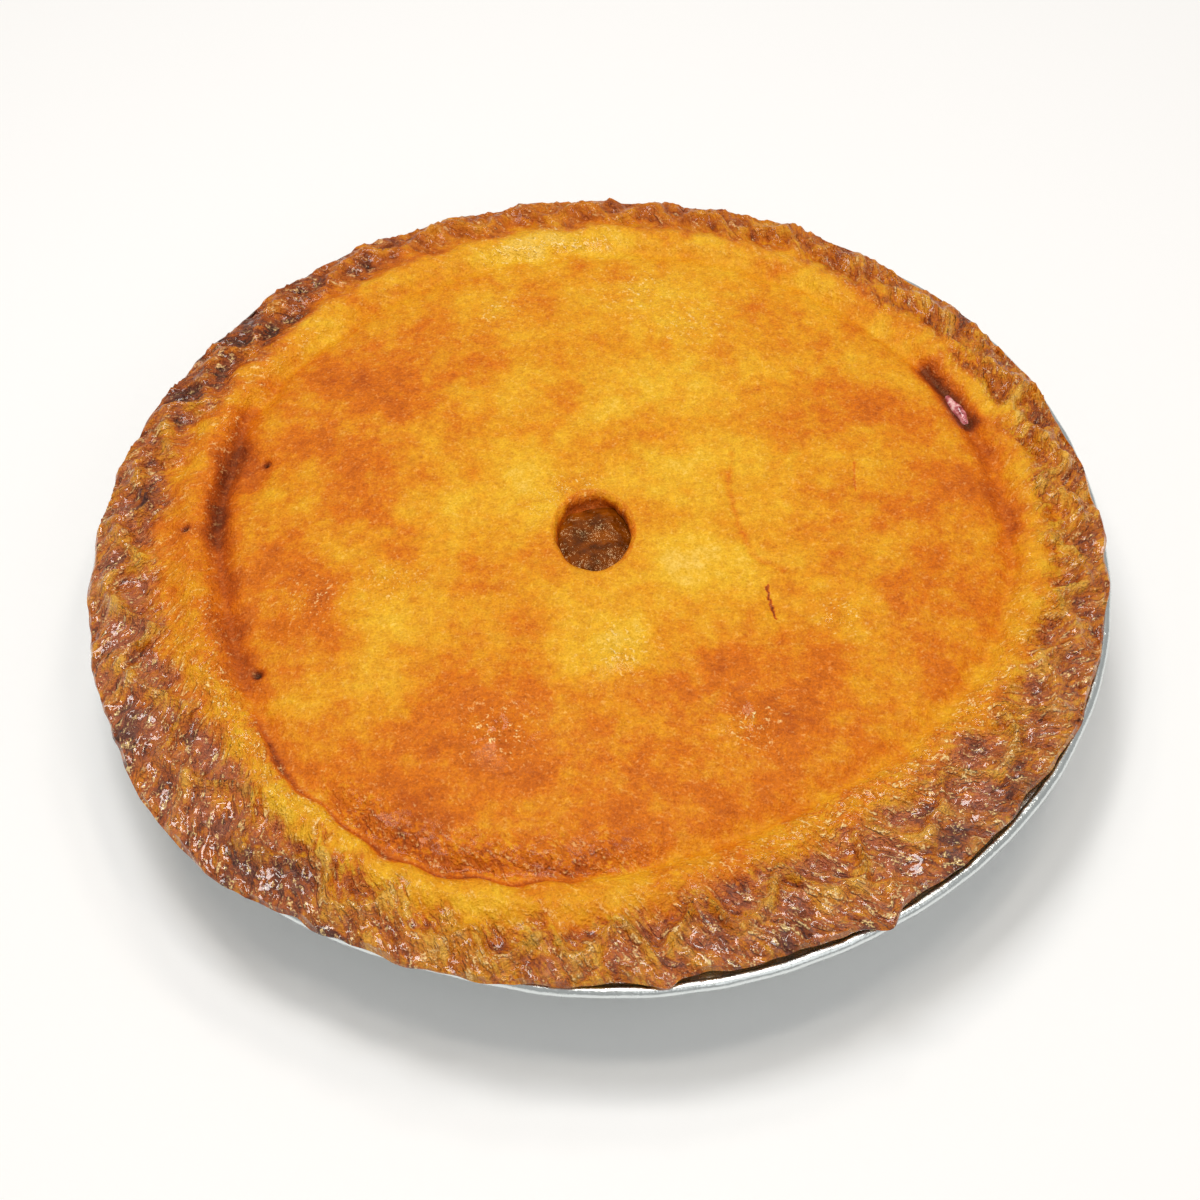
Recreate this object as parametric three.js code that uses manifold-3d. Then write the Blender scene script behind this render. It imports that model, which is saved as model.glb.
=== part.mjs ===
// A whole baked apple pie in its foil tin.
//
// Three pieces, each one closed solid:
//   foil_tin      a round pressed tin with a slanted wall, a flat flange and a rolled bead
//   pie_crust     one pastry shell: base, side, crimped rim, pressed groove and domed lid,
//                 open at the steam vent in the middle and at a split beside the groove
//   apple_filling the cooked filling, which fills the shell and shows in both openings
//
// Millimetres, +Z up. The tin stands on z = 0 and the whole pie is centred on the origin.
// The front, where the tin's rim shows best, faces -Y.

import * as THREE from "three";
import { mergeVertices } from "three/addons/utils/BufferGeometryUtils.js";
import Module from "manifold-3d";

// ---- Tin ------------------------------------------------------------------------------------

const TIN_RIM_RADIUS = 120.9; // outside of the rolled bead, a nine-inch pie tin
const TIN_MOUTH_RADIUS = 110.5; // inside of the wall where it turns into the flange
const TIN_BASE_RADIUS = 92; // outside of the flat base
const TIN_DEPTH = 29; // underside of the base to underside of the flange
const FOIL = 0.6; // wall, thicker than real foil so that it is a sound solid
const BASE_CORNER = 3; // radius where the base turns up into the wall
const BEAD_RADIUS = 1.35;
const BEAD_STEPS = 6;
const TIN_SEGMENTS = 72;
// Soft foil never stays round: where the rim is bent, as [degrees, half width in degrees, mm
// outwards].
const TIN_BENDS = [
  [0, 24, -1.2],
  [252, 16, -1.9],
];

// ---- Pastry ---------------------------------------------------------------------------------

const GAP = 0.3; // kept between touching pieces
const PASTRY = 3.6; // thickness of the base, the side and the lid

const EDGE_RADIUS = 119.9; // outer lip of the rim, where nothing changes it
const LIP_THICKNESS = 1.6;

const GROOVE_RADIUS = 95.8; // pressed line between the rim and the lid
const GROOVE_SHIFT = [0.8, 2];
const GROOVE_HALF_WIDTH = 3.2;
const GROOVE_DEPTH = 2.2; // at its deepest, below the edge of the lid

const LID_EDGE_HEIGHT = 34.4; // where the lid meets the groove
const SHOULDER_HEIGHT = 36.3; // smooth roll of pastry outside the groove
const CRIMP_HEIGHT = 33.8; // floor of the crimped zone
const EDGE_HEIGHT = 32.7;
const LID_HEIGHT = 37; // lid beside the vent

const CRIMPS = 33;
const RIDGE_INSET = 8; // from the outer lip to the middle of the wavy ridge
const RIDGE_SWING = 3.2; // how far the ridge waves in and out
const RIDGE_RISE = 2.5;
const RIDGE_HALF_WIDTH = 2;
const RIDGE_STEPS = [-2.9, -1.4, 0, 1.4, 2.9]; // across the ridge, from its outer to its inner foot
const POCKET_DEPTH = 1.1; // sunk places inside each outward wave

const VENT_CENTRE = [-1.6, -0.1];
const VENT_THROAT = [8.3, 11.2]; // half width and half length of the opening
const VENT_LIP = [10.3, 13.4]; // where the lid starts to roll into the opening

const SPLIT_FROM = 18; // degrees round the rim
const SPLIT_TO = 34;
const SPLIT_HALF_WIDTH = 1.9;
const SPLIT_STEPS = 10;

// Places where the outer lip leaves the round, as [degrees, half width in degrees, mm outwards]:
// the broad lobes of the pastry first, then its notches, a flake and a drip over the tin's bead.
const LIP_CHANGES = [
  [8, 32, -1.4],
  [118, 19, 1.6],
  [180, 12, 0.7],
  [217, 21, 3.6],
  [252, 7, 0.8],
  [290, 32, -1.5],
  [209, 4, -0.8],
  [236.5, 1.6, -1.4],
  [275, 1.3, 2.1],
  [298.5, 1.8, 3.6],
  [320.5, 2.4, -2],
];

// The groove isn't round either: the rim lies over the lid at the front left, and the lid ends
// further in on both sides of that, as [degrees, half width in degrees, mm outwards].
const GROOVE_BENDS = [
  [243, 18, 3.7],
  [300, 26, -5.7],
  [190, 24, -5.3],
];

// The crimps were pressed further in, and in wider waves, where the rim is broad. Changes of the
// ridge's inset and of its swing, as [degrees, half width in degrees, mm].
const INSET_CHANGES = [
  [218, 22, 5.3],
  [302, 26, 4.8],
  [255, 14, -2.5],
  [95, 50, -2.2],
];
const SWING_CHANGES = [
  [215, 24, 1.7],
  [305, 28, 1],
  [255, 14, -0.5],
  [95, 50, -0.8],
];

// The crimps are pressed to different depths round the pie, and most weakly at the back, as
// [degrees, half width in degrees, share of the full depth].
const STRENGTH_CHANGES = [
  [100, 48, -0.4],
  [15, 30, -0.2],
];

// How much of its full depth the groove keeps round the pie: it is pressed deep at the left and
// the front and almost closed at the back, as [degrees, half width in degrees, share added].
const GROOVE_SHARE = 0.5;
const GROOVE_CHANGES = [
  [95, 50, -0.3],
  [20, 20, 0.3],
  [170, 26, 0.6],
  [250, 28, 0.2],
  [325, 25, -0.2],
];

// Soft rises and hollows of the lid, where it lies on pieces of fruit or has sunk between them,
// as [x, y, radius, rise].
const LID_SWELLS = [
  [5, -37, 10, 0.9],
  [44, -50, 15, 0.8],
  [-22, -50, 18, 0.7],
  [-56, -26, 16, 0.8],
  [-52, 32, 20, 0.9],
  [-8, 56, 20, 0.7],
  [34, 52, 18, 0.6],
  [62, 20, 16, 0.8],
  [66, -22, 15, 0.7],
  [16, -72, 18, 0.6],
  [32, -8, 9, -0.8],
  [-28, 6, 12, -0.5],
  [20, 22, 12, -0.5],
  [-84, 22, 9, -1.9],
  [-80, -24, 8, -0.8],
];

const RIM_POINTS = 252; // round the crimped rim
const LID_POINTS = 120; // round the groove and the outer lid
const INNER_POINTS = 60; // round the vent, the inside and the base

// ---- Small helpers --------------------------------------------------------------------------

const radians = (degrees) => (degrees * Math.PI) / 180;
const mix = (a, b, share) => a + (b - a) * share;
const bell = (offset, width) => Math.exp(-((offset / width) ** 2));

function smoothStep(from, to, value) {
  const share = Math.min(Math.max((value - from) / (to - from), 0), 1);
  return share * share * (3 - 2 * share);
}

// Signed angle from one direction to another, in -180..180 degrees.
function degreesBetween(angle, degrees) {
  const turn = (angle * 180) / Math.PI - degrees;
  return turn - 360 * Math.round(turn / 360);
}

// ---- The outline of the rim and the groove ---------------------------------------------------

// Sum of soft changes round the pie, each [degrees, half width in degrees, amount].
function changesAt(angle, changes) {
  return changes.reduce((sum, [degrees, halfWidth, amount]) => {
    return sum + amount * bell(degreesBetween(angle, degrees), halfWidth);
  }, 0);
}

function edgeRadius(angle) {
  const unevenness = 0.25 * Math.sin(5 * angle + 0.6) + 0.25 * Math.sin(11 * angle + 2);
  const scallop = 0.4 * Math.sin(crimpPhase(angle) + 0.8);
  return EDGE_RADIUS + unevenness + scallop + changesAt(angle, LIP_CHANGES);
}

function grooveRadius(angle) {
  const shift = GROOVE_SHIFT[0] * Math.cos(angle) + GROOVE_SHIFT[1] * Math.sin(angle);
  return GROOVE_RADIUS + shift + changesAt(angle, GROOVE_BENDS);
}

// The crimps aren't evenly spaced: the phase runs ahead and falls behind a little.
function crimpPhase(angle) {
  return CRIMPS * angle + 5.1 + 1.5 * Math.sin(2 * angle + 2.7) + 2.1 * Math.sin(4 * angle + 0.65);
}

// A skewed wave, so that each turn of the ridge leans over like a hook.
function crimpWave(angle) {
  const phase = crimpPhase(angle);
  return Math.sin(phase) + 0.3 * Math.sin(2 * phase + 0.9);
}

// The crimps are pressed a little deeper in some stretches than in others.
function crimpStrength(angle) {
  return 0.9 + 0.1 * Math.sin(4 * angle + 1) + changesAt(angle, STRENGTH_CHANGES);
}

// ---- The top of the pastry, as a height over the plan -----------------------------------------

function lidHeight(x, y, radius, groove) {
  const dome = 0.3 * (1 - Math.exp((radius - groove) / 5)) + 0.7 * (1 - (radius / groove) ** 2);
  const swells = LID_SWELLS.reduce((sum, [swellX, swellY, swellRadius, rise]) => {
    return sum + rise * bell(Math.hypot(x - swellX, y - swellY), swellRadius);
  }, 0);
  return mix(LID_EDGE_HEIGHT, LID_HEIGHT, dome) + swells;
}

// The line that the ridge waves about, as an inset from the outer lip, and how far it waves.
const ridgeMiddle = (angle) => RIDGE_INSET + changesAt(angle, INSET_CHANGES);
const ridgeSwing = (angle) => RIDGE_SWING + changesAt(angle, SWING_CHANGES);

function ridgeInset(angle) {
  return ridgeMiddle(angle) - ridgeSwing(angle) * crimpWave(angle);
}

function rimHeight(angle, outwards, inset) {
  const strength = crimpStrength(angle);
  const slope = (SHOULDER_HEIGHT - CRIMP_HEIGHT) * smoothStep(6, 13, outwards);
  const lip = (CRIMP_HEIGHT - EDGE_HEIGHT) * smoothStep(5, 0, inset);

  const ridge = RIDGE_RISE * strength * bell(inset - ridgeInset(angle), RIDGE_HALF_WIDTH);
  const pocketAcross = bell(inset - ridgeMiddle(angle) - ridgeSwing(angle), 2.4);
  const hollow = POCKET_DEPTH * strength * pocketAcross * smoothStep(-0.2, 0.9, crimpWave(angle));
  const ruffle = 0.35 * Math.sin(crimpPhase(angle) + 2.4) * smoothStep(6, 2, inset);

  return SHOULDER_HEIGHT - slope - lip + ridge - hollow + ruffle;
}

function topHeight(x, y) {
  const angle = Math.atan2(y, x);
  const radius = Math.hypot(x, y);
  const groove = grooveRadius(angle);
  const outwards = radius - groove;
  const lid = lidHeight(x, y, Math.min(radius, groove), groove);
  const rim = rimHeight(angle, outwards, edgeRadius(angle) - radius);
  const depth = GROOVE_DEPTH * (GROOVE_SHARE + changesAt(angle, GROOVE_CHANGES));
  return mix(lid, rim, smoothStep(-1.5, 4.5, outwards)) - depth * bell(outwards, GROOVE_HALF_WIDTH);
}

// ---- Skins over rings of points ----------------------------------------------------------------

// A loop of points round the axis. place(angle) gives [x, y, z].
function ring(count, place) {
  return Array.from({ length: count }, (_, i) => place((i / count) * 2 * Math.PI));
}

// A loop at a radius and a height, either of which may change with the angle.
function roundRing(count, radiusAt, heightAt) {
  return ring(count, (angle) => {
    const radius = radiusAt(angle);
    const x = radius * Math.cos(angle);
    const y = radius * Math.sin(angle);
    return [x, y, heightAt(x, y, angle)];
  });
}

// Triangles between two neighbouring loops, which may have different numbers of points.
function stitch(index, startA, countA, startB, countB) {
  const stepsA = countA === 1 ? 0 : countA;
  const stepsB = countB === 1 ? 0 : countB;
  let a = 0;
  let b = 0;
  while (a < stepsA || b < stepsB) {
    const pointA = startA + (a % countA);
    const pointB = startB + (b % countB);
    const alongA = a < stepsA && (b >= stepsB || (a + 0.5) * stepsB <= (b + 0.5) * stepsA);
    if (alongA) {
      a += 1;
      index.push(pointA, startA + (a % countA), pointB);
    } else {
      b += 1;
      index.push(pointB, pointA, startB + (b % countB));
    }
  }
}

// One closed surface from its first point to its last, over the loops between them.
function skin(rings) {
  const positions = [];
  const starts = [];
  for (const loop of rings) {
    starts.push(positions.length / 3);
    loop.forEach((point) => positions.push(...point));
  }
  const index = [];
  for (let i = 0; i + 1 < rings.length; i += 1) {
    stitch(index, starts[i], rings[i].length, starts[i + 1], rings[i + 1].length);
  }
  const geometry = new THREE.BufferGeometry();
  geometry.setAttribute("position", new THREE.Float32BufferAttribute(positions, 3));
  geometry.setIndex(index);
  geometry.computeVertexNormals();
  return geometry;
}

// ---- Cutting one closed mesh with another ---------------------------------------------------------

const wasm = await Module();
wasm.setup();

function solidOf(geometry) {
  const bare = geometry.clone();
  bare.deleteAttribute("normal");
  bare.deleteAttribute("uv");
  const merged = mergeVertices(bare, 1e-3);
  return new wasm.Manifold(
    new wasm.Mesh({
      numProp: 3,
      vertProperties: merged.attributes.position.array,
      triVerts: new Uint32Array(merged.index.array),
    }),
  );
}

function geometryOf(solid) {
  const mesh = solid.getMesh();
  const geometry = new THREE.BufferGeometry();
  geometry.setAttribute("position", new THREE.BufferAttribute(mesh.vertProperties, 3));
  geometry.setIndex(new THREE.BufferAttribute(mesh.triVerts, 1));
  geometry.computeVertexNormals();
  return geometry;
}

// ---- The foil tin ----------------------------------------------------------------------------------

const FLANGE_TOP = TIN_DEPTH + FOIL;
const WALL_LEAN = (TIN_MOUTH_RADIUS - (TIN_BASE_RADIUS - FOIL)) / TIN_DEPTH;

// Inside of the tin's wall at a height.
const tinInside = (height) => TIN_MOUTH_RADIUS - WALL_LEAN * (FLANGE_TOP - height);

function foilTin() {
  const beadCentre = new THREE.Vector2(TIN_RIM_RADIUS - BEAD_RADIUS, TIN_DEPTH + FOIL / 2);
  const joint = Math.asin(FOIL / 2 / BEAD_RADIUS);
  const wallThickness = FOIL * Math.hypot(1, WALL_LEAN);
  const cornerRise = 0.35 * BASE_CORNER;

  const profile = [new THREE.Vector2(0, 0), new THREE.Vector2(TIN_BASE_RADIUS - BASE_CORNER, 0)];
  profile.push(new THREE.Vector2(tinInside(cornerRise) + wallThickness - 0.5, cornerRise));
  profile.push(new THREE.Vector2(tinInside(BASE_CORNER) + wallThickness, BASE_CORNER));
  profile.push(new THREE.Vector2(tinInside(TIN_DEPTH) + wallThickness, TIN_DEPTH));
  for (let i = 0; i <= BEAD_STEPS; i += 1) {
    const turn = mix(Math.PI + joint, 3 * Math.PI - joint, i / BEAD_STEPS);
    profile.push(
      new THREE.Vector2(
        beadCentre.x + BEAD_RADIUS * Math.cos(turn),
        beadCentre.y + BEAD_RADIUS * Math.sin(turn),
      ),
    );
  }
  profile.push(new THREE.Vector2(TIN_MOUTH_RADIUS, FLANGE_TOP));
  profile.push(new THREE.Vector2(tinInside(BASE_CORNER), BASE_CORNER));
  profile.push(new THREE.Vector2(TIN_BASE_RADIUS - BASE_CORNER, FOIL));
  profile.push(new THREE.Vector2(0, FOIL));

  const geometry = new THREE.LatheGeometry(profile, TIN_SEGMENTS);
  geometry.rotateX(Math.PI / 2);
  bendRim(geometry.attributes.position);
  return geometry;
}

// Only the flange and the bead are bent, the wall below them stays as it was pressed.
function bendRim(points) {
  for (let i = 0; i < points.count; i += 1) {
    const x = points.getX(i);
    const y = points.getY(i);
    const radius = Math.hypot(x, y);
    const onRim = smoothStep(TIN_MOUTH_RADIUS + 2, TIN_RIM_RADIUS - 2 * BEAD_RADIUS, radius);
    const bend = onRim * changesAt(Math.atan2(y, x), TIN_BENDS);
    if (bend !== 0) points.setXY(i, x * (1 + bend / radius), y * (1 + bend / radius));
  }
}

// ---- The pastry shell ---------------------------------------------------------------------------------

const CRUST_BASE = FOIL + GAP;
const CRUST_UNDER_RIM = FLANGE_TOP + GAP;
const CRUST_UNDER_LIP = TIN_DEPTH + FOIL / 2 + BEAD_RADIUS + GAP;
const CAVITY_FLOOR = CRUST_BASE + PASTRY;
const CAVITY_CORNER = LID_EDGE_HEIGHT - GROOVE_DEPTH - PASTRY - 0.4; // ceiling of the inside under the groove

const crustOutside = (height) => tinInside(height) - GAP;
const cavityRadius = (height) => crustOutside(height) - PASTRY;

// How far out the pastry lies flat on the flange, and where it has risen to pass over the bead.
const insideBead = (angle) => TIN_RIM_RADIUS - 2 * BEAD_RADIUS + changesAt(angle, TIN_BENDS);
const besideBead = (angle) => Math.min(edgeRadius(angle) - 3.4, insideBead(angle) - 2);
const overBead = (angle) => Math.min(edgeRadius(angle) - 2.4, insideBead(angle) - 0.8);

function underside() {
  const base = TIN_BASE_RADIUS - BASE_CORNER - GAP;
  const flat = (height) => () => height;
  const footHeight = BASE_CORNER + GAP;
  return [
    [[0, 0, CRUST_BASE]],
    roundRing(INNER_POINTS, () => base, flat(CRUST_BASE)),
    roundRing(INNER_POINTS, () => crustOutside(footHeight), flat(footHeight)),
    roundRing(LID_POINTS, () => crustOutside(CRUST_UNDER_RIM), flat(CRUST_UNDER_RIM)),
    roundRing(LID_POINTS, besideBead, flat(CRUST_UNDER_RIM)),
    roundRing(RIM_POINTS, overBead, flat(CRUST_UNDER_LIP)),
  ];
}

function outerLip() {
  const middle = CRUST_UNDER_LIP + 0.45 * LIP_THICKNESS;
  return [
    roundRing(RIM_POINTS, (angle) => edgeRadius(angle) - 0.7, () => CRUST_UNDER_LIP),
    roundRing(RIM_POINTS, edgeRadius, () => middle),
  ];
}

const SHOULDER_STEPS = [7.2, 4.8, 3, 1.3, -0.4, -3]; // outwards from the groove

// The loops follow the wavy ridge, so that its crest stays sharp.
function crimpedRim() {
  const first = 0.8;
  const band = (angle) => edgeRadius(angle) - grooveRadius(angle) - SHOULDER_STEPS[0];
  const across = (step) => (angle) => {
    return Math.min(Math.max(ridgeInset(angle) + step, 2 * first), band(angle) - first);
  };
  const outerFoot = across(RIDGE_STEPS[0]);
  const innerFoot = across(RIDGE_STEPS[RIDGE_STEPS.length - 1]);
  const insets = [
    () => first,
    (angle) => mix(first, outerFoot(angle), 0.5),
    ...RIDGE_STEPS.map(across),
    (angle) => mix(innerFoot(angle), band(angle), 0.5),
  ];
  return insets.map((inset) => {
    return roundRing(RIM_POINTS, (angle) => edgeRadius(angle) - inset(angle), topHeight);
  });
}

function shoulderAndGroove() {
  return SHOULDER_STEPS.map((step) => {
    return roundRing(LID_POINTS, (angle) => grooveRadius(angle) + step, topHeight);
  });
}

// A loop between an oval round the vent and a circle round the pie.
function lidRing(count, share, heightAt, oval = VENT_LIP) {
  return ring(count, (angle) => {
    const groove = grooveRadius(angle);
    const x = mix(VENT_CENTRE[0] + oval[0] * Math.cos(angle), groove * Math.cos(angle), share);
    const y = mix(VENT_CENTRE[1] + oval[1] * Math.sin(angle), groove * Math.sin(angle), share);
    return [x, y, heightAt(x, y)];
  });
}

function domedLid() {
  const outer = [0.92, 0.84, 0.74, 0.63].map((share) => lidRing(LID_POINTS, share, topHeight));
  const inner = [0.51, 0.39, 0.27, 0.16, 0.07, 0].map((share) =>
    lidRing(INNER_POINTS, share, topHeight),
  );
  return [...outer, ...inner];
}

const ceilingHeight = (x, y) => topHeight(x, y) - PASTRY - 0.2;
const VENT_CEILING = LID_HEIGHT - PASTRY - 0.2;

function ventWall() {
  const [lipX, lipY] = VENT_LIP;
  const [throatX, throatY] = VENT_THROAT;
  const rolled = [mix(throatX, lipX, 0.3), mix(throatY, lipY, 0.3)];
  return [
    lidRing(INNER_POINTS, 0, () => LID_HEIGHT - 0.5, rolled),
    lidRing(INNER_POINTS, 0, () => LID_HEIGHT - 1.5, VENT_THROAT),
    lidRing(INNER_POINTS, 0, () => VENT_CEILING, VENT_THROAT),
  ];
}

// The inside of the shell, from the vent outwards under the lid, down the side and in over the base.
// The filling is the same form, drawn in by the gap all round.
function cavity(drawnIn) {
  const down = (heightAt) => (x, y) => heightAt(x, y) - drawnIn;
  const ceiling = [0.14, 0.36, 0.58, 0.8, 0.92].map((share) =>
    lidRing(INNER_POINTS, share, down(ceilingHeight)),
  );
  const corner = CAVITY_CORNER - drawnIn;
  const floor = CAVITY_FLOOR + drawnIn;
  const underGroove = roundRing(INNER_POINTS, (angle) => grooveRadius(angle) + 1, () => corner);
  const side = [corner - 0.4, floor].map((height) =>
    roundRing(INNER_POINTS, () => cavityRadius(height) - drawnIn, () => height),
  );
  return [...ceiling, underGroove, ...side, [[0, 0, floor]]];
}

// A lens-shaped cutter that stands in the groove, for the split.
function splitCutter() {
  const outer = [];
  const inner = [];
  for (let i = 0; i <= SPLIT_STEPS; i += 1) {
    const share = i / SPLIT_STEPS;
    const angle = radians(mix(SPLIT_FROM, SPLIT_TO, share));
    const half = SPLIT_HALF_WIDTH * Math.sin(Math.PI * share) ** 0.8;
    const middle = grooveRadius(angle) + 0.2;
    const point = (radius) => new THREE.Vector2(radius * Math.cos(angle), radius * Math.sin(angle));
    outer.push(point(middle + half));
    if (i > 0 && i < SPLIT_STEPS) inner.unshift(point(middle - half));
  }
  const bottom = CAVITY_CORNER - 2;
  const geometry = new THREE.ExtrudeGeometry(new THREE.Shape([...outer, ...inner]), {
    depth: LID_HEIGHT + 5 - bottom,
    bevelEnabled: false,
  });
  geometry.translate(0, 0, bottom);
  return geometry;
}

function pieCrust() {
  const shell = skin([
    ...underside(),
    ...outerLip(),
    ...crimpedRim(),
    ...shoulderAndGroove(),
    ...domedLid(),
    ...ventWall(),
    ...cavity(0),
  ]);
  return geometryOf(solidOf(shell).subtract(solidOf(splitCutter())));
}

// ---- The filling --------------------------------------------------------------------------------------

// The same surface with every triangle turned round.
function turnedOver(geometry) {
  const index = geometry.index.array;
  for (let i = 0; i < index.length; i += 3) [index[i], index[i + 1]] = [index[i + 1], index[i]];
  geometry.computeVertexNormals();
  return geometry;
}

function appleFilling() {
  const top = VENT_CEILING - GAP;
  const underVent = [VENT_THROAT[0] * 0.6, VENT_THROAT[1] * 0.6];
  return turnedOver(
    skin([
      [[...VENT_CENTRE, top]],
      lidRing(INNER_POINTS, 0, () => top - 0.1, underVent),
      ...cavity(GAP),
    ]),
  );
}

// ---- The pie ----------------------------------------------------------------------------------------------

const pastryFinish = new THREE.MeshStandardMaterial({ color: 0xd68a2c, roughness: 0.45 });
const fillingFinish = new THREE.MeshStandardMaterial({ color: 0x8a4a1c, roughness: 0.15 });
const foilFinish = new THREE.MeshStandardMaterial({ color: 0xc9cfd1, roughness: 0.3, metalness: 1 });

function piece(name, geometry, material) {
  const mesh = new THREE.Mesh(geometry, material);
  mesh.name = name;
  return mesh;
}

const pie = new THREE.Group();
pie.add(piece("foil_tin", foilTin(), foilFinish));
pie.add(piece("pie_crust", pieCrust(), pastryFinish));
pie.add(piece("apple_filling", appleFilling(), fillingFinish));

// The rim overhangs the tin unevenly, so the whole is moved to put its middle over the origin.
const middle = new THREE.Box3().setFromObject(pie).getCenter(new THREE.Vector3());
pie.position.set(-middle.x, -middle.y, 0);

export default pie;
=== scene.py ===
# %% [markdown]
# # A baked apple pie in its foil tin
# The pie was built first as plain solids: a pressed tin, a pastry shell and the cooked filling. Here
# each of them gets its finished surface. The solids are the frame, so every new piece is made
# exactly where they are and nothing is moved afterwards. Sizes are written in millimetres, as a
# baker would give them, and MM turns them into Blender's metres.

# %% Load the frame
import math

import bmesh
import bpy
import numpy as np
from mathutils import Matrix, Vector, noise


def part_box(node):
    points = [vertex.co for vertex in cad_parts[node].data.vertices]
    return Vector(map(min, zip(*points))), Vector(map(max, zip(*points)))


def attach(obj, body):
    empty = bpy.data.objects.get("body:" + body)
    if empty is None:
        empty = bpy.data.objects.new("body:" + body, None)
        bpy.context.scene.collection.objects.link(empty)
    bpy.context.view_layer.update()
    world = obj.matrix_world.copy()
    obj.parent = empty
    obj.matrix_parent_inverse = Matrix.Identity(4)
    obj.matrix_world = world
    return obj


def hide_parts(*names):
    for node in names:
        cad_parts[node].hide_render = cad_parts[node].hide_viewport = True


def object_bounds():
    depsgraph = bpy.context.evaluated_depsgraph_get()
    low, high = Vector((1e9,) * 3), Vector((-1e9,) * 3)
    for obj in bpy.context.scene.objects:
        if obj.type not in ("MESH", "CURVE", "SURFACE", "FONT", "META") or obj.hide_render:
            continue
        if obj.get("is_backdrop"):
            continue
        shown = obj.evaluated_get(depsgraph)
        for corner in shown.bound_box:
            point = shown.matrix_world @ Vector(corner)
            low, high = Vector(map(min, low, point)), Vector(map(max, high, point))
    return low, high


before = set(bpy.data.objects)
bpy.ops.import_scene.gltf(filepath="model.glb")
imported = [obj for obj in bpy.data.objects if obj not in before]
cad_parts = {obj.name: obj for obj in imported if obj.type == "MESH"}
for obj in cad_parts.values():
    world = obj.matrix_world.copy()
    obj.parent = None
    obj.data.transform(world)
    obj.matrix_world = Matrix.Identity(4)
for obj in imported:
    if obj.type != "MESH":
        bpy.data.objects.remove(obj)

MM = 0.001
frame_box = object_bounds()
filling_low, filling_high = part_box("apple_filling")
axis = (filling_low + filling_high) / 2 / MM  # the filling is round, so its middle is the tin's axis
print("frame size in mm:", [round(side / MM, 1) for side in frame_box[1] - frame_box[0]])
print("the tin's axis stands at", [round(value, 2) for value in axis.xy], "mm")

# %% [markdown]
# ## The view
# The camera stands where the photograph was taken from, about fifty degrees above the table. Its
# place was found by laying the tin's circle over the picture. A camera could also be aimed with a
# Track To constraint, but the picture is turned by two degrees, so the three directions of the
# camera are written out here and set as its matrix.

# %% Camera
VIEW_ELEVATION = math.radians(49.95)
VIEW_ROLL = math.radians(1.91)
VIEW_DISTANCE = 560
VIEW_DIP = math.radians(1.22)  # the pie's middle lies a little above the middle of the picture
LENS_PER_WIDTH = 1.9605  # focal length as a share of the picture's width
RIM_PLANE = 29.3  # height of the tin's rim, which the camera looks at


def aim_camera():
    forward = Vector((0, math.cos(VIEW_ELEVATION), -math.sin(VIEW_ELEVATION)))
    upward = Vector((0, math.sin(VIEW_ELEVATION), math.cos(VIEW_ELEVATION)))
    place = (Vector((0, 0, RIM_PLANE)) - VIEW_DISTANCE * forward) * MM
    dipped = math.cos(VIEW_DIP) * forward - math.sin(VIEW_DIP) * upward
    lifted = math.cos(VIEW_DIP) * upward + math.sin(VIEW_DIP) * forward
    right = Vector((1, 0, 0))
    rolled_right = math.cos(VIEW_ROLL) * right - math.sin(VIEW_ROLL) * lifted
    rolled_up = math.sin(VIEW_ROLL) * right + math.cos(VIEW_ROLL) * lifted
    turned = Matrix((rolled_right, rolled_up, -dipped)).transposed()
    bpy.ops.object.camera_add()
    camera = bpy.context.object
    camera.matrix_world = Matrix.Translation(place) @ turned.to_4x4()
    camera.data.lens = LENS_PER_WIDTH * camera.data.sensor_width
    bpy.context.scene.camera = camera
    return camera


camera = aim_camera()
print("camera at", [round(value, 3) for value in camera.location], "lens", round(camera.data.lens, 1))

# %% [markdown]
# ## Floor and light
# Egg-washed pastry shows its form by small highlights, and there are thousands of them on a crimped
# rim. One large lamp gives few and broad ones. So the main lamp hangs almost straight above, and a
# ring of small lamps round it lets many more of the tiny wrinkles catch one. A weak light from the
# front and a pale surround keep the shadows open. The Standard view keeps the yellows and oranges
# as strong as they are in the picture, where a filmic one would grey them.


# %% Floor, lights and surround
def plain_material(name, colour, roughness):
    material = bpy.data.materials.new(name)
    material.use_nodes = True
    shader = material.node_tree.nodes["Principled BSDF"]
    shader.inputs["Base Color"].default_value = (*colour, 1)
    shader.inputs["Roughness"].default_value = roughness
    return material


def soft_light(name, place, size, power):
    bpy.ops.object.light_add(type="AREA", location=Vector(place) * MM)
    light = bpy.context.object
    light.name = name
    light.rotation_euler = (-light.location).to_track_quat("-Z", "Y").to_euler()
    light.data.shape = "DISK"
    light.data.size = size * MM
    light.data.energy = power
    return light


bpy.ops.mesh.primitive_plane_add(size=6000 * MM)
table_top = bpy.context.object
table_top.name = "table_top"
table_top.data.materials.append(plain_material("pale table", (0.95, 0.95, 0.95), 0.6))
table_top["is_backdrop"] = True

SMALL_LAMPS = [(90, 64), (150, 68), (30, 68), (205, 74), (335, 74), (270, 80)]  # degrees round and up

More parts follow.
